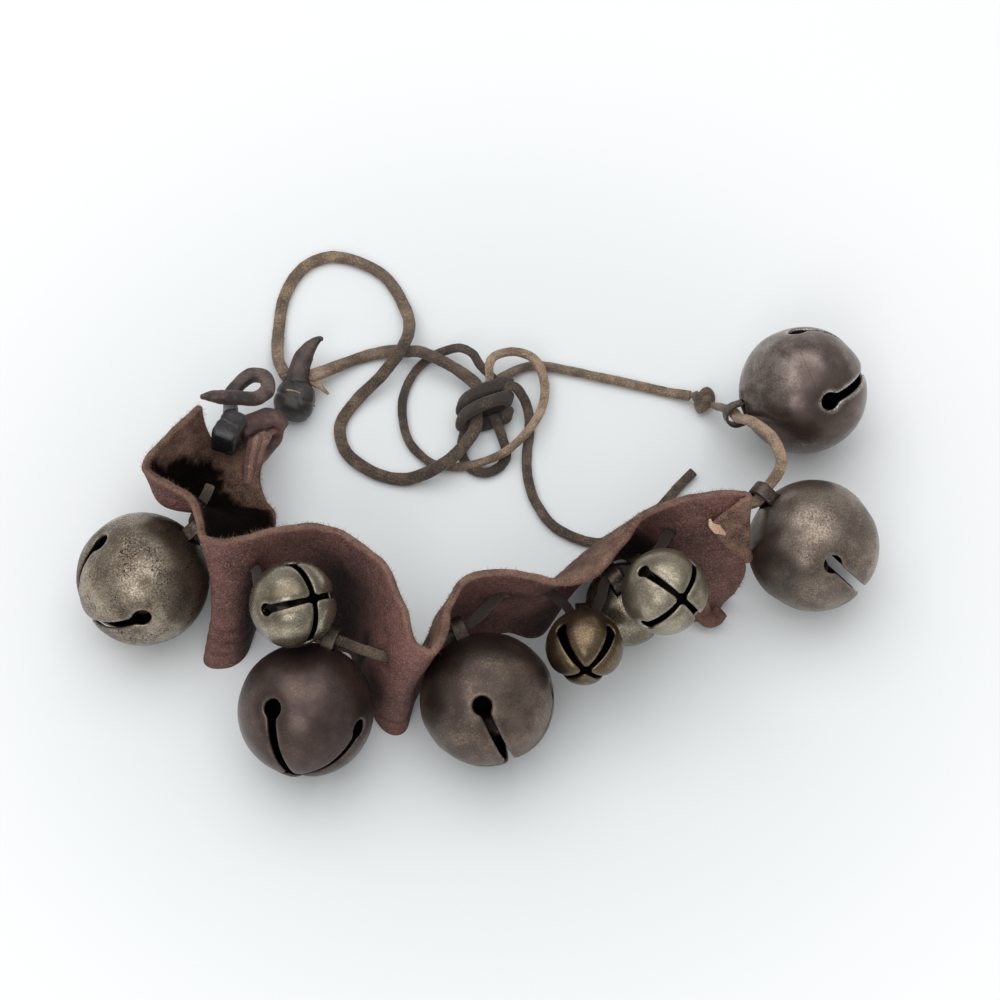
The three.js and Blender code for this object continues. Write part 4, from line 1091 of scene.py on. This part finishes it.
strapBulges = {
    0: (-3, -1.5, -6), 1: (-2.5, -1.5, -6), 2: (-2, -1.5, -6), 3: (-0.5, 0, -4), 4: (1.5, 1, -1),
    5: (1.6, 0, 0), 6: (2, 0, 0), 7: (0.6, 0, 0), 12: (-0.8, 0, 0), 13: (-2.4, 0, 0), 14: (-2.4, 0, 0),
    15: (-1.6, 0.5, 0),
    16: (-2, 1, 0), 17: (-1, 1, 0), 18: (0, 1, 0), 20: (-0.6, 1, 0), 21: (-1.8, 2.4, 0), 22: (-1.8, 2.4, 0),
    23: (-0.6, 1, 0), 25: (0, -1, 0), 26: (0, -1.5, 0),
}
lastStation = len(strapTops) - 1
strapFolds = (  # station and reach along, share and reach across, shift
    (1.5, 1.4, 0.5, 0.22, (0, 0, -5)),  # the trough at the left end sinks
    (2.7, 0.9, 0.79, 0.14, (-2.2, -2.6, 0)),  # its outer wall rolls over below the rim
    (0, 0.4, 0.12, 0.26, (1.0, 4.2, 0.6)),  # its end reaches into the thong
)
# where the lower edge spreads out under the bells: the station, how wide and how far
strapSkirts = ((10.5, 0.9, (-1, -7, 0)), (12.2, 0.7, (-3.2, 0, 0)), (20.3, 0.9, (1, -6, 0)))
skirtHeight = 0.5
# the right end is cut askew: how far it reaches at each share across
strapEnd = ((0, -3.2), (0.1, -0.8), (0.2, 0.6), (0.3, 1.3), (0.4, 1.5), (0.5, 1.3), (0.6, 0))
# creases across the feet of the two lobes: station, its reach, height and depth
strapCreases = (
    (7.2, 1.3, 0.3, 0.3), (7.3, 1.1, 0.21, 0.4), (7.0, 1.2, 0.11, 0.35), (14.6, 1.1, 0.17, 0.4),
    (14.9, 1.0, 0.08, 0.3),
)
creaseShape = {
    "width": 0.022, "wander": 0.03, "wanderCell": 5.0, "seed": 53, "slant": 0.02, "soilAndShade": 1.2,
}
# where the strap is darkened: dirt and painted shade together
soilAndShadeSettings = {
    "upper": ((0.2, 0.58), (0.5, 0.77), (0.8, 0.89), (1.05, 0.95), (1.4, 0.99), (1.8, 1.2)),
    "lower": ((0.22, 0.58), (0.3, 0.45), (0.55, 0.29), (1, 0.17), (1.5, 0.1), (2.1, 0.03), (2.7, -0.15)),
    "hollowEnds": (6.3, 5.7), "foot": (0.5, 24, 4), "lace": (0.8, 2.4), "grainFoot": (0.2, 13, 0),
    "pockets": ((8.1, 0.62, 0.9), (10.9, 1.1, 0.95), (12.2, 0.6, 0.6), (20.3, 1.0, 0.45), (23, 1.1, 0.78)),
    "pocketSoilAndShade": 0.92, "pocketFade": 0.3, "waver": 0.05, "wavers": ((3.0, 61), (0.9, 63)),
    "upperFade": 0.13, "lowerFade": 0.16, "lowerLift": 0.1, "rag": 0.25, "ragCell": 3.0, "ragSeed": 67,
    "bells": {
        "bell_2": (0.8, 4), "bell_3": (0.4, 3), "bell_6": (0.9, 7), "bell_7": (0.6, 5), "bell_8": (0.9, 9),
        "bell_9": (0.9, 6),
    },
}


def stationCurve(points, share):
    # the even curve through the stations that the drawing uses
    points = np.asarray(points, float)
    points = np.vstack([2 * points[0] - points[1], points, 2 * points[-1] - points[-2]])
    spans = len(points) - 3
    span = np.minimum((share * spans).astype(int), spans - 1)
    t = (share * spans - span)[:, None]
    before, start, end, after = (points[span + k] for k in range(4))
    leave, enter = (end - before) / 2, (after - start) / 2
    square, cubic = -3 * start + 3 * end - 2 * leave - enter, 2 * start - 2 * end + leave + enter
    return start + leave * t + square * t ** 2 + cubic * t ** 3


def gathers(along, across):
    station = along * lastStation
    moved = np.zeros((len(along), 3))
    for at, wide, level, tall, shift in strapFolds:
        near = np.exp(-((station - at) / wide) ** 2 - ((across - level) / tall) ** 2)
        moved += near[:, None] * np.array(shift)
    moved[:, 0] += np.clip(station - lastStation + 1, 0, 1) ** 2 * stepped(strapEnd, across)
    flare = np.clip(1 - across / skirtHeight, 0, 1) ** 2
    for at, wide, shift in strapSkirts:
        moved += (np.exp(-((station - at) / wide) ** 2) * flare)[:, None] * np.array(shift)
    return moved


def strapSpots(along, across):
    bulges = [strapBulges.get(i, (0, 0, 0)) for i in range(len(strapTops))]
    rise = across[:, None]
    level = stationCurve(strapBottoms, along) * (1 - rise) + stationCurve(strapTops, along) * rise
    return level + stationCurve(bulges, along) * 4 * rise * (1 - rise) + gathers(along, across)


def strapWays(along, across):
    # the sheet's normals and its ways along and across
    nudge = strapSettings["nudge"]
    alongStep = strapSpots(np.minimum(along + nudge, 1), across)
    alongStep -= strapSpots(np.maximum(along - nudge, 0), across)
    acrossStep = strapSpots(along, np.minimum(across + nudge, 1))
    acrossStep -= strapSpots(along, np.maximum(across - nudge, 0))
    return unit(np.cross(alongStep, acrossStep)), unit(alongStep), unit(acrossStep)


def distanceTo(path, spots):
    least = np.full(len(spots), farAway)
    for point in path:
        least = np.minimum(least, np.linalg.norm(spots - point, axis=1))
    return least


heldLace = smoothPath(laceRoutes["strap_lace"]["points"], strapSettings["heldSpacing"])
heldThong = smoothPath(thongHitchPoints, strapSettings["heldSpacing"])


def holeGap(places):
    return np.minimum(distanceTo(heldLace, places) - strapSettings["laceHole"],
                      distanceTo(heldThong, places) - strapSettings["thongHole"])


def clearOfBells(spots):
    # moves the sheet clear of the bells, at rest and at the end of their swing, and says how near they come
    nearest = np.full(len(spots), farAway)
    for name, look in bellLooks.items():
        for middle in (bells[name]["centre"], swungCentre(name)):
            away = spots - middle
            room = np.linalg.norm(away, axis=1) - look.get("shape", largeShape)["radius"]
            spots += unit(away) * np.maximum(strapSettings["clear"] - room, 0)[:, None]
            nearest = np.minimum(nearest, room)
    return nearest


def strapSoilAndShade(spots, station, across, creased):
    # dirt and painted shade on the flesh side, most in the hollow of the left end and towards the foot, and
    # on the grain side round lace and bells, in creases and folds and towards the foot
    wavering = across
    for cell, noiseSeed in soilAndShadeSettings["wavers"]:
        wavering = wavering + soilAndShadeSettings["waver"] * softNoise(spots, cell, noiseSeed)
    upper, lower = stepped(soilAndShadeSettings["upper"], station), stepped(soilAndShadeSettings["lower"], station)
    below = np.clip((upper - wavering) / soilAndShadeSettings["upperFade"], 0, 1)
    above = np.clip((wavering - lower) / soilAndShadeSettings["lowerFade"] + soilAndShadeSettings["lowerLift"], 0, 1)
    hollow = below * above * ramp(station, *soilAndShadeSettings["hollowEnds"])
    # both sides are painted darker towards the foot, a painted shade
    amount, top, bottom = soilAndShadeSettings["foot"]
    flesh = np.maximum(hollow, amount * ramp(spots[:, 2], top, bottom))
    amount, top, bottom = soilAndShadeSettings["grainFoot"]
    # painted shade round the lace where it runs through the strap
    laceShade, laceReach = soilAndShadeSettings["lace"]
    grain = laceShade * np.exp(-(distanceTo(heldLace, spots) / laceReach) ** 2)
    grain = np.maximum(grain, amount * ramp(spots[:, 2], top, bottom))
    # creases are painted darker too, a painted shade
    grain = np.maximum(grain, creaseShape["soilAndShade"] * creased)
    # pockets low in the folds are painted nearly black, painted shade with some dirt
    for middle, reach, height in soilAndShadeSettings["pockets"]:
        low = ramp(wavering, height, height - soilAndShadeSettings["pocketFade"])
        pocket = np.exp(-((station - middle) / reach) ** 2) * low
        grain = np.maximum(grain, soilAndShadeSettings["pocketSoilAndShade"] * pocket)
    ragged = soilAndShadeSettings["rag"] * softNoise(spots, soilAndShadeSettings["ragCell"], soilAndShadeSettings["ragSeed"])
    # round the bells, painted shadow with some dirt
    for name, (amount, spread) in soilAndShadeSettings["bells"].items():
        radius = bellLooks[name].get("shape", largeShape)["radius"]
        beyond = np.linalg.norm(spots - bells[name]["centre"], axis=1) - radius
        grain = np.maximum(grain, amount * np.exp(-np.maximum(beyond / spread + ragged, 0) ** 2))
    return flesh, grain


def addStrap():
    columns, rows = strapSettings["columns"], strapSettings["rows"]
    along = np.repeat(np.linspace(0, 1, columns + 1), rows + 1)
    across = np.tile(np.linspace(0, 1, rows + 1), columns + 1)
    station = along * lastStation
    normals, alongWay, acrossWay = strapWays(along, across)
    spots = strapSpots(along, across)
    quads = gridQuads(columns, rows)
    quads = quads[holeGap(spots[quads].mean(axis=1)) > 0]
    edge = np.unique(openEdges(quads))
    border = (across[edge] == 0) | (across[edge] == 1) | (along[edge] == 0) | (along[edge] == 1)
    holeEdge = edge[~border]
    for _ in range(strapSettings["holeSlides"]):
        spots[holeEdge] = slideTo(holeGap, spots[holeEdge], normals[holeEdge], 0.0)
    push = np.zeros_like(spots)
    holeSlope = slopeOf(holeGap, spots[holeEdge], normals[holeEdge])[1]
    push[holeEdge] = -unit(holeSlope) * strapSettings["holeLip"]
    for share, way in ((across, acrossWay), (along, alongWay)):
        push[share == 0] = -way[share == 0] * strapSettings["edgeLip"]
        push[share == 1] = way[share == 1] * strapSettings["edgeLip"]
    for cell, amount in strapSettings["wrinkles"]:
        spots += normals * (amount * softNoise(spots, cell, int(cell * 10)))[:, None]
    creased = np.zeros(len(spots))
    wander = creaseShape["wander"] * softNoise(spots, creaseShape["wanderCell"], creaseShape["seed"])
    for middle, reach, height, deep in strapCreases:
        level = across - height + wander + creaseShape["slant"] * (station - middle)
        creased += deep * np.exp(-((station - middle) / reach) ** 2 - (level / creaseShape["width"]) ** 2)
    spots -= normals * creased[:, None]
    ragged = softNoise(spots, strapSettings["raggedCell"], strapSettings["raggedSeed"])
    ragged = strapSettings["ragged"] * ragged * ramp(across, strapSettings["raggedFrom"], 1)
    spots += acrossWay * ragged[:, None]
    bellRoom = clearOfBells(spots)
    halves = (strapSettings["thickness"] / 2, strapSettings["thickness"] / 2)
    points, faces, origin, skin = joinSkins(spots, normals, halves, quads, push)
    points[:, 2] = np.maximum(points[:, 2], strapSettings["tableGap"])
    acrossGap = np.minimum(across, 1 - across) * strapSettings["width"]
    alongGap = np.minimum(along, 1 - along) * strapSettings["length"]
    edgeGap = np.minimum(acrossGap, alongGap)
    onLip = (skin > 0) & (skin < 1)
    edgeMark = np.where(onLip, 1.0, np.exp(-edgeGap / strapSettings["frayReach"])[origin])
    fleshMark = ramp(skin, strapSettings["fleshFrom"], strapSettings["fleshTo"])
    fleshSoilAndShade, grainSoilAndShade = strapSoilAndShade(spots, station, across, creased)
    soilAndShadeMark = np.where(skin > 0.5, fleshSoilAndShade[origin], grainSoilAndShade[origin])
    soilAndShadeMark = soilAndShadeMark * (1 - strapSettings["edgeClean"] * edgeMark)
    marks = {"flesh": fleshMark, "edge": edgeMark, "soilAndShade": soilAndShadeMark}
    piece = makePiece("strap_leather", points, faces, strapLeather, marks,
                      replaced="strap")
    napRoom = (bellRoom > strapSettings["napClear"])[origin]
    frayed = strapSettings["edgeNap"] * edgeMark * (skin > 0)
    napMark = np.maximum(fleshMark * (1 - soilAndShadeMark), frayed) * napRoom
    return piece, (points, faces, napMark), (points, faces, np.where(onLip, napRoom, 0.0))


strap, strapNap, strapFray = addStrap()
print("strap gathered")


# Dark thong, its knot, the toggle knob and the horn tip

thongShape = {"spacing": 0.35, "lumps": ((3.0, 0.2), (1.0, 0.06)), "grows": False}
thongSettings = {
    "thong_loop": {
        "points": [
            (-64.4, 12.6, 24.2), (-61.6, 13.6, 22.6), (-57.6, 14.7, 20), (-53.7, 16.3, 17), (-51.2, 20, 14),
            (-52, 24, 12.5), (-55, 25.2, 11.5), (-58, 23.2, 11), (-59.4, 19.6, 11.5), (-59.2, 15.4, 13.6),
            (-58.8, 12.4, 16.6),
        ],
        "width": ((0, 1.0), (0.06, 2.6), (0.18, 3.2), (1, 3.2)), "height": ((0, 1.2), (0.1, 2.5), (1, 2.7)),
        "material": waxed["thong"], "seed": 131, "square": 3.2,
    },
    "thong_hitch": {
        "points": thongHitchPoints, "width": ((0, 4.8), (0.3, 5.0), (0.6, 4.4), (1, 3.4)), "height": 2.2,
        "material": waxed["hitch"], "seed": 137, "square": 4.0,
    },
}
for name, spec in thongSettings.items():
    addSoft(name + "_leather", slot="dark_leather", replaced=name, **thongShape, **spec)

# the gathered tongue of the strap's end, in pleats that fan out
# each has its place aside, its drop and its tone
tonguePoints = np.array([
    (-52, 12, 10.8), (-52.8, 10.2, 12.4), (-53.0, 7.5, 15.4), (-53.3, 4.2, 17), (-53.9, 0.6, 16.2),
    (-54.6, -2.6, 13.6),
])
pleats = ((-1.5, 0.3, 0.25), (0, 0, 0.6), (1.5, 0.5, 0.3), (3.0, 1.2, 0.5))
pleatFan = {"from": 1, "to": 0.35, "sway": 0.25, "firstSeed": 141}
pleatShape = {
    "spacing": 0.3, "width": ((0, 1.5), (1, 1.3)), "height": 1.5, "lumps": ((2.0, 0.25), (0.8, 0.08)),
    "square": 2.2,
}
fan = np.linspace(pleatFan["from"], pleatFan["to"], len(tonguePoints))[:, None]
for number, (aside, drop, tone) in enumerate(pleats):
    pleatPoints = tonguePoints + fan * (aside, pleatFan["sway"] * aside, -drop)
    addSoft(f"strap_pleat_{number + 1}_leather", pleatPoints, material=tongueLeather,
            slot="strap_leather", seed=pleatFan["firstSeed"] + number, tone=tone, **pleatShape)

# knots pressed from folded leather: their turns, and the creases' directions, offsets, widths and depths
lumpSettings = {
    "thong_knot": {
        "centre": (-58.5, 6.3, 19.9), "size": (5.8, 8.6, 6.4), "power": 6.0,
        "turns": (("x", -14), ("z", -20)), "creases": (((0.2, 1, 0.3), 0.2, 0.08, 0.06),),
        "leather": "block", "seed": 151,
    },
    "toggle_knot": {
        "centre": (-46, 22.6, 4.6), "size": (8.9, 8.7, 8.8), "power": 2.7, "turns": (("z", -12),),
        "creases": (
            ((0.15, 1, 0.35), 0.1, 0.07, 0.07), ((-0.25, 1, -0.5), 0.45, 0.08, 0.08),
            ((0.9, 0.5, 0.2), 0.3, 0.06, 0.06),
        ),
        "leather": "knob", "seed": 157,
    },
}
lumpShape = {
    "noise": ((2.4, 0.18), (0.8, 0.05)), "subdivisions": 5, "wander": 0.06, "wanderScale": 3,
    "wanderCell": 1.2,
}


def turned(points, axis, angle):
    c, s = math.cos(math.radians(angle)), math.sin(math.radians(angle))
    spin = {"x": ((1, 0, 0), (0, c, s), (0, -s, c)), "z": ((c, s, 0), (-s, c, 0), (0, 0, 1))}
    return points @ np.array(spin[axis])


def addLump(name, spec):
    # a rounded block with creases pressed into it
    outward, faces = ballMesh(lumpShape["subdivisions"])
    power, seed = spec["power"], spec["seed"]
    points = outward / (np.abs(outward) ** power).sum(axis=1, keepdims=True) ** (1 / power)
    reach = np.ones(len(points))
    spots = outward * lumpShape["wanderScale"]
    wander = lumpShape["wander"] * softNoise(spots, lumpShape["wanderCell"], seed)
    for direction, offset, wide, deep in spec["creases"]:
        reach -= deep * np.exp(-((points @ unit(direction) - offset + wander) / wide) ** 2)
    points = points * reach[:, None] * np.array(spec["size"]) / 2
    for axis, angle in spec["turns"]:
        points = turned(points, axis, angle)
    points = roughened(points + np.array(spec["centre"]), lumpShape["noise"], seed)
    points[:, 2] = np.maximum(points[:, 2], tableGap)
    leather = waxed[spec["leather"]]
    makePiece(name + "_leather", points, faces, leather, {"tone": 0.5}, replaced=name)


for name, spec in lumpSettings.items():
    addLump(name, spec)

threadShape = {
    "points": [
        (-50.5, 23.2, 4.2), (-49.6, 23.2, 7.2), (-46.6, 22.8, 9.05), (-43.4, 21.9, 8.1), (-41.5, 21.2, 4.6),
    ],
    "spacing": 0.25, "width": 0.42, "height": 0.36, "sides": 8, "lumps": ((1.5, 0.05),), "grows": False,
    "seed": 163, "tone": 0.85,
}
addSoft("toggle_thread", material=suede, slot="suede", **threadShape)
hornWidth = ((0, 5.2), (0.3, 4.9), (0.55, 4.2), (0.75, 2.9), (0.9, 1.6), (1, 0.5))
hornFlatness = 0.85
hornShape = {
    "points": [
        (-45.6, 25.2, 5.4), (-45.2, 28.6, 6.4), (-44.6, 31, 7), (-43.2, 33.8, 7.8), (-41.6, 35.5, 8.5),
        (-40.2, 36.2, 8.9), (-39.9, 35.6, 9.1),
    ],
    "spacing": 0.2, "width": hornWidth,
    "height": tuple((share, hornFlatness * width) for share, width in hornWidth),
    "square": 2.4, "lumps": ((2.5, 0.12), (0.8, 0.04)), "grows": False, "seed": 167,
}
addSoft("toggle_tip_leather", material=waxed["horn"], slot="dark_leather", replaced="toggle_tip",
        **hornShape)
print("thong and toggle shaped")


# The dog-eared upper corner at the right end, folded over to the bell side with its flesh side out

flapSettings = {
    "lowEnd": 0.5, "tipAt": 0.68, "reach": 6.9, "leastReach": 0.5, "bend": 1.0, "lift": 0.05,
    "liftPower": 1.5, "thickness": 1.3, "lip": 0.4, "columns": 40, "rows": 26, "wrinkle": 0.25,
    "wrinkleCell": 4.0, "seed": 171, "rowStep": 0.35, "frayReach": 0.7, "tipLift": 0.9,
}


def flapSheet():
    # the flap's middle sheet, its normals and its way along, in columns from the fold to the free edge
    columns, rows, lowEnd, tipAt = (flapSettings[key] for key in ("columns", "rows", "lowEnd", "tipAt"))
    foldAcross = np.linspace(lowEnd, 1.0, columns + 1)
    atEnd = np.ones(len(foldAcross))
    foldEdge = strapSpots(atEnd, foldAcross)
    foldNormal, foldAlong, _ = strapWays(atEnd, foldAcross)
    share = (foldAcross - lowEnd) / (1 - lowEnd)
    taper = np.where(share < tipAt, share / tipAt, (1 - share) / (1 - tipAt))
    reach = np.maximum(flapSettings["reach"] * taper, flapSettings["leastReach"])
    bend = flapSettings["bend"]
    turnLength = math.pi * bend
    travelled = np.linspace(0, 1, rows + 1) * (turnLength + reach)[:, None]
    bent = np.minimum(travelled / turnLength, 1)[:, :, None] * math.pi
    onward = np.maximum(travelled - turnLength, 0)[:, :, None]
    up, out = foldNormal[:, None], foldAlong[:, None]
    lifted = bend * (1 - np.cos(bent)) + flapSettings["lift"] * onward ** flapSettings["liftPower"]
    sheet = foldEdge[:, None] + up * lifted + out * (bend * np.sin(bent) - onward)
    normals = -up * np.cos(bent) + out * np.sin(bent)
    return sheet.reshape(-1, 3), normals.reshape(-1, 3), np.repeat(foldAlong, rows + 1, axis=0)


flapSpots, flapNormals, flapAlong = flapSheet()
flapNoise = softNoise(flapSpots, flapSettings["wrinkleCell"], flapSettings["seed"])
flapSpots += flapNormals * (flapSettings["wrinkle"] * flapNoise)[:, None]
flapRows = flapSettings["rows"]
rowOf = np.arange(len(flapSpots)) % (flapRows + 1)
freeEdge = rowOf == flapRows
flapPush = np.where(freeEdge[:, None], -flapAlong * flapSettings["lip"], 0.0)
flapHalves = (flapSettings["thickness"] / 2, flapSettings["thickness"] / 2)
flapQuads = gridQuads(flapSettings["columns"], flapRows)[:, ::-1]
points, faces, origin, skin = joinSkins(flapSpots, flapNormals, flapHalves, flapQuads, flapPush)
toEdge = (flapRows - rowOf[origin]) * flapSettings["rowStep"]
flapEdge = np.where((skin > 0) & (skin < 1), 1.0, np.exp(-toEdge / flapSettings["frayReach"]))
flapMarks = {"flesh": np.where(skin <= 0.5, 1.0, 0.0), "edge": flapEdge, "soilAndShade": 0}
flap = makePiece("strap_flap_leather", points, faces, strapLeather, flapMarks)
# its tip is torn and pale
tipSpot = int(flapSettings["tipAt"] * flapSettings["columns"]) * (flapRows + 1) + flapRows
tip = flapSpots[tipSpot] + flapNormals[tipSpot] * flapSettings["tipLift"]
tornPoints = ((2.6, -1.2, 0.3), (1.2, -0.4, 0.5), (0, 0.6, 0.6), (-0.4, 1.8, 1.0))
tornShape = {
    "spacing": 0.2, "width": ((0, 0.6), (0.4, 2.4), (1, 0.5)), "height": 0.5, "lumps": ((1.2, 0.15),),
    "grows": False, "seed": 177, "tone": 0.6,
}
addSoft("strap_torn_leather", [tip + point for point in tornPoints], material=tornLeather,
        slot="strap_leather", **tornShape)
# a torn tab curls out below it
tabShape = {
    "points": [(42.4, -27.4, 6.4), (43.4, -29, 4.2), (44.8, -30, 2.6), (46.4, -30, 2.8), (47.6, -29, 4.2)],
    "spacing": 0.3, "width": ((0, 4.6), (1, 3.0)), "thickness": 1.2, "sides": 20, "square": 6.0,
    "lumps": ((3.0, 0.3), (1.0, 0.08)), "seed": 181, "marks": {"flesh": 0.6, "edge": 0.3, "soilAndShade": 0.2},
}
tabPath = smoothPath(tabShape["points"], tabShape["spacing"])
tabWidth = stepped(tabShape["width"], np.linspace(0, 1, len(tabPath)))
points, faces, _ = sweep(tabPath, tabWidth, tabShape["thickness"], sides=tabShape["sides"],
                         square=tabShape["square"])
points = roughened(points, tabShape["lumps"], tabShape["seed"])
makePiece("strap_tab_leather", points, faces, strapLeather, tabShape["marks"])
print("flap folded")


# Nap: short fibres that stand on suede and on the flesh side of the strap

fibreShape = {
    "corners": 3, "lean": (0.9, 0.9, 3.1), "smallest": 0.5, "largest": 1.3, "tone": 0.62, "lowest": 1.2,
    "gain": 1.6, "least": 0.1,
}
napSettings = {
    "lace_nap": {"Density": 2.4e6, "Length": 0.00036, "Thickness": 0.000028, "Seed": 5},
    "strap_nap": {"Density": 2.2e6, "Length": 0.0006, "Thickness": 0.00003, "Seed": 9},
    "strap_fray": {"Density": 5e6, "Length": 0.0011, "Thickness": 0.000035, "Seed": 13},
}


def napTree():
    tree, given, made = newGroup(
        "napFibres", "GeometryNodeTree",
        {"Geometry": ["Geometry"], "Float": ["Density", "Length", "Thickness"], "Int": ["Seed"],
         "Material": ["Material"]},
        {"Geometry": ["Geometry"]},
    )
    seed = given["Seed"]
    where = node(tree, "GeometryNodeInputNamedAttribute", {"Name": "nap"}, data_type="FLOAT")
    density = sums(tree, "MULTIPLY", where.outputs["Attribute"], given["Density"])
    scatter = node(tree, "GeometryNodeDistributePointsOnFaces",
                   {"Mesh": given["Geometry"], "Density": density, "Seed": seed}).outputs
    cone = {"Vertices": fibreShape["corners"], "Radius Top": 0.0, "Radius Bottom": given["Thickness"],
            "Depth": given["Length"]}
    fibre = node(tree, "GeometryNodeMeshCone", cone, fill_type="TRIANGLE_FAN").outputs["Mesh"]
    lean = fibreShape["lean"]
    leaning = node(tree, "FunctionNodeRandomValue", {0: [-angle for angle in lean], 1: lean, "Seed": seed},
                   data_type="FLOAT_VECTOR").outputs[0]
    leaning = node(tree, "FunctionNodeEulerToRotation", {0: leaning}).outputs[0]
    turns = {0: scatter["Rotation"], 1: leaning}
    standing = node(tree, "FunctionNodeRotateRotation", turns, rotation_space="LOCAL").outputs[0]
    limits = {2: fibreShape["smallest"], 3: fibreShape["largest"], "Seed": seed}
    size = node(tree, "FunctionNodeRandomValue", limits, data_type="FLOAT").outputs[1]
    fibres = {"Points": scatter["Points"], "Instance": fibre, "Rotation": standing, "Scale": size}
    spread = node(tree, "GeometryNodeInstanceOnPoints", fibres).outputs[0]
    real = node(tree, "GeometryNodeRealizeInstances", {"Geometry": spread}).outputs[0]
    coat = {"Geometry": real, "Material": given["Material"]}
    coloured = node(tree, "GeometryNodeSetMaterial", coat).outputs[0]
    tree.links.new(coloured, made["Geometry"])
    return tree


napFibres = napTree()


def growNap(name, sources, material):
    points = np.concatenate([source[0] for source in sources])
    density = np.concatenate([source[2] for source in sources]) * (points[:, 2] > fibreShape["lowest"])
    faces, start = [], 0
    for spots, sourceFaces, _ in sources:
        faces += [[int(k) + start for k in face] for face in sourceFaces]
        start += len(spots)
    mesh = bpy.data.meshes.new(name + "Base")
    mesh.from_pydata(toFrame(points).tolist(), [], faces)
    addMark(mesh, "nap", density)
    base = bpy.data.objects.new(name + "Base", mesh)
    scene.collection.objects.link(base)
    growth = base.modifiers.new("nap", "NODES")
    growth.node_group = napFibres
    wanted = {**napSettings[name], "Material": material}
    for item in napFibres.interface.items_tree:
        if item.in_out == "INPUT" and item.name in wanted:
            growth[item.identifier] = wanted[item.name]
    bpy.context.view_layer.update()
    grown = bpy.data.meshes.new_from_object(base.evaluated_get(bpy.context.evaluated_depsgraph_get()))
    bpy.data.objects.remove(base)
    grown.materials.clear()
    grown.materials.append(material)
    addMark(grown, "tone", np.full(len(grown.vertices), fibreShape["tone"]))
    placePiece(name, grown)


laceNap = []
for points, faces, tone in napSources:  # dark suede grows less
    laceNap.append((points, faces, np.clip(tone * fibreShape["gain"], fibreShape["least"], 1)))
growNap("lace_nap", laceNap, suede)
growNap("strap_nap", [strapNap], fleshFuzz)
growNap("strap_fray", [strapFray], fleshFuzz)
print("nap grown")
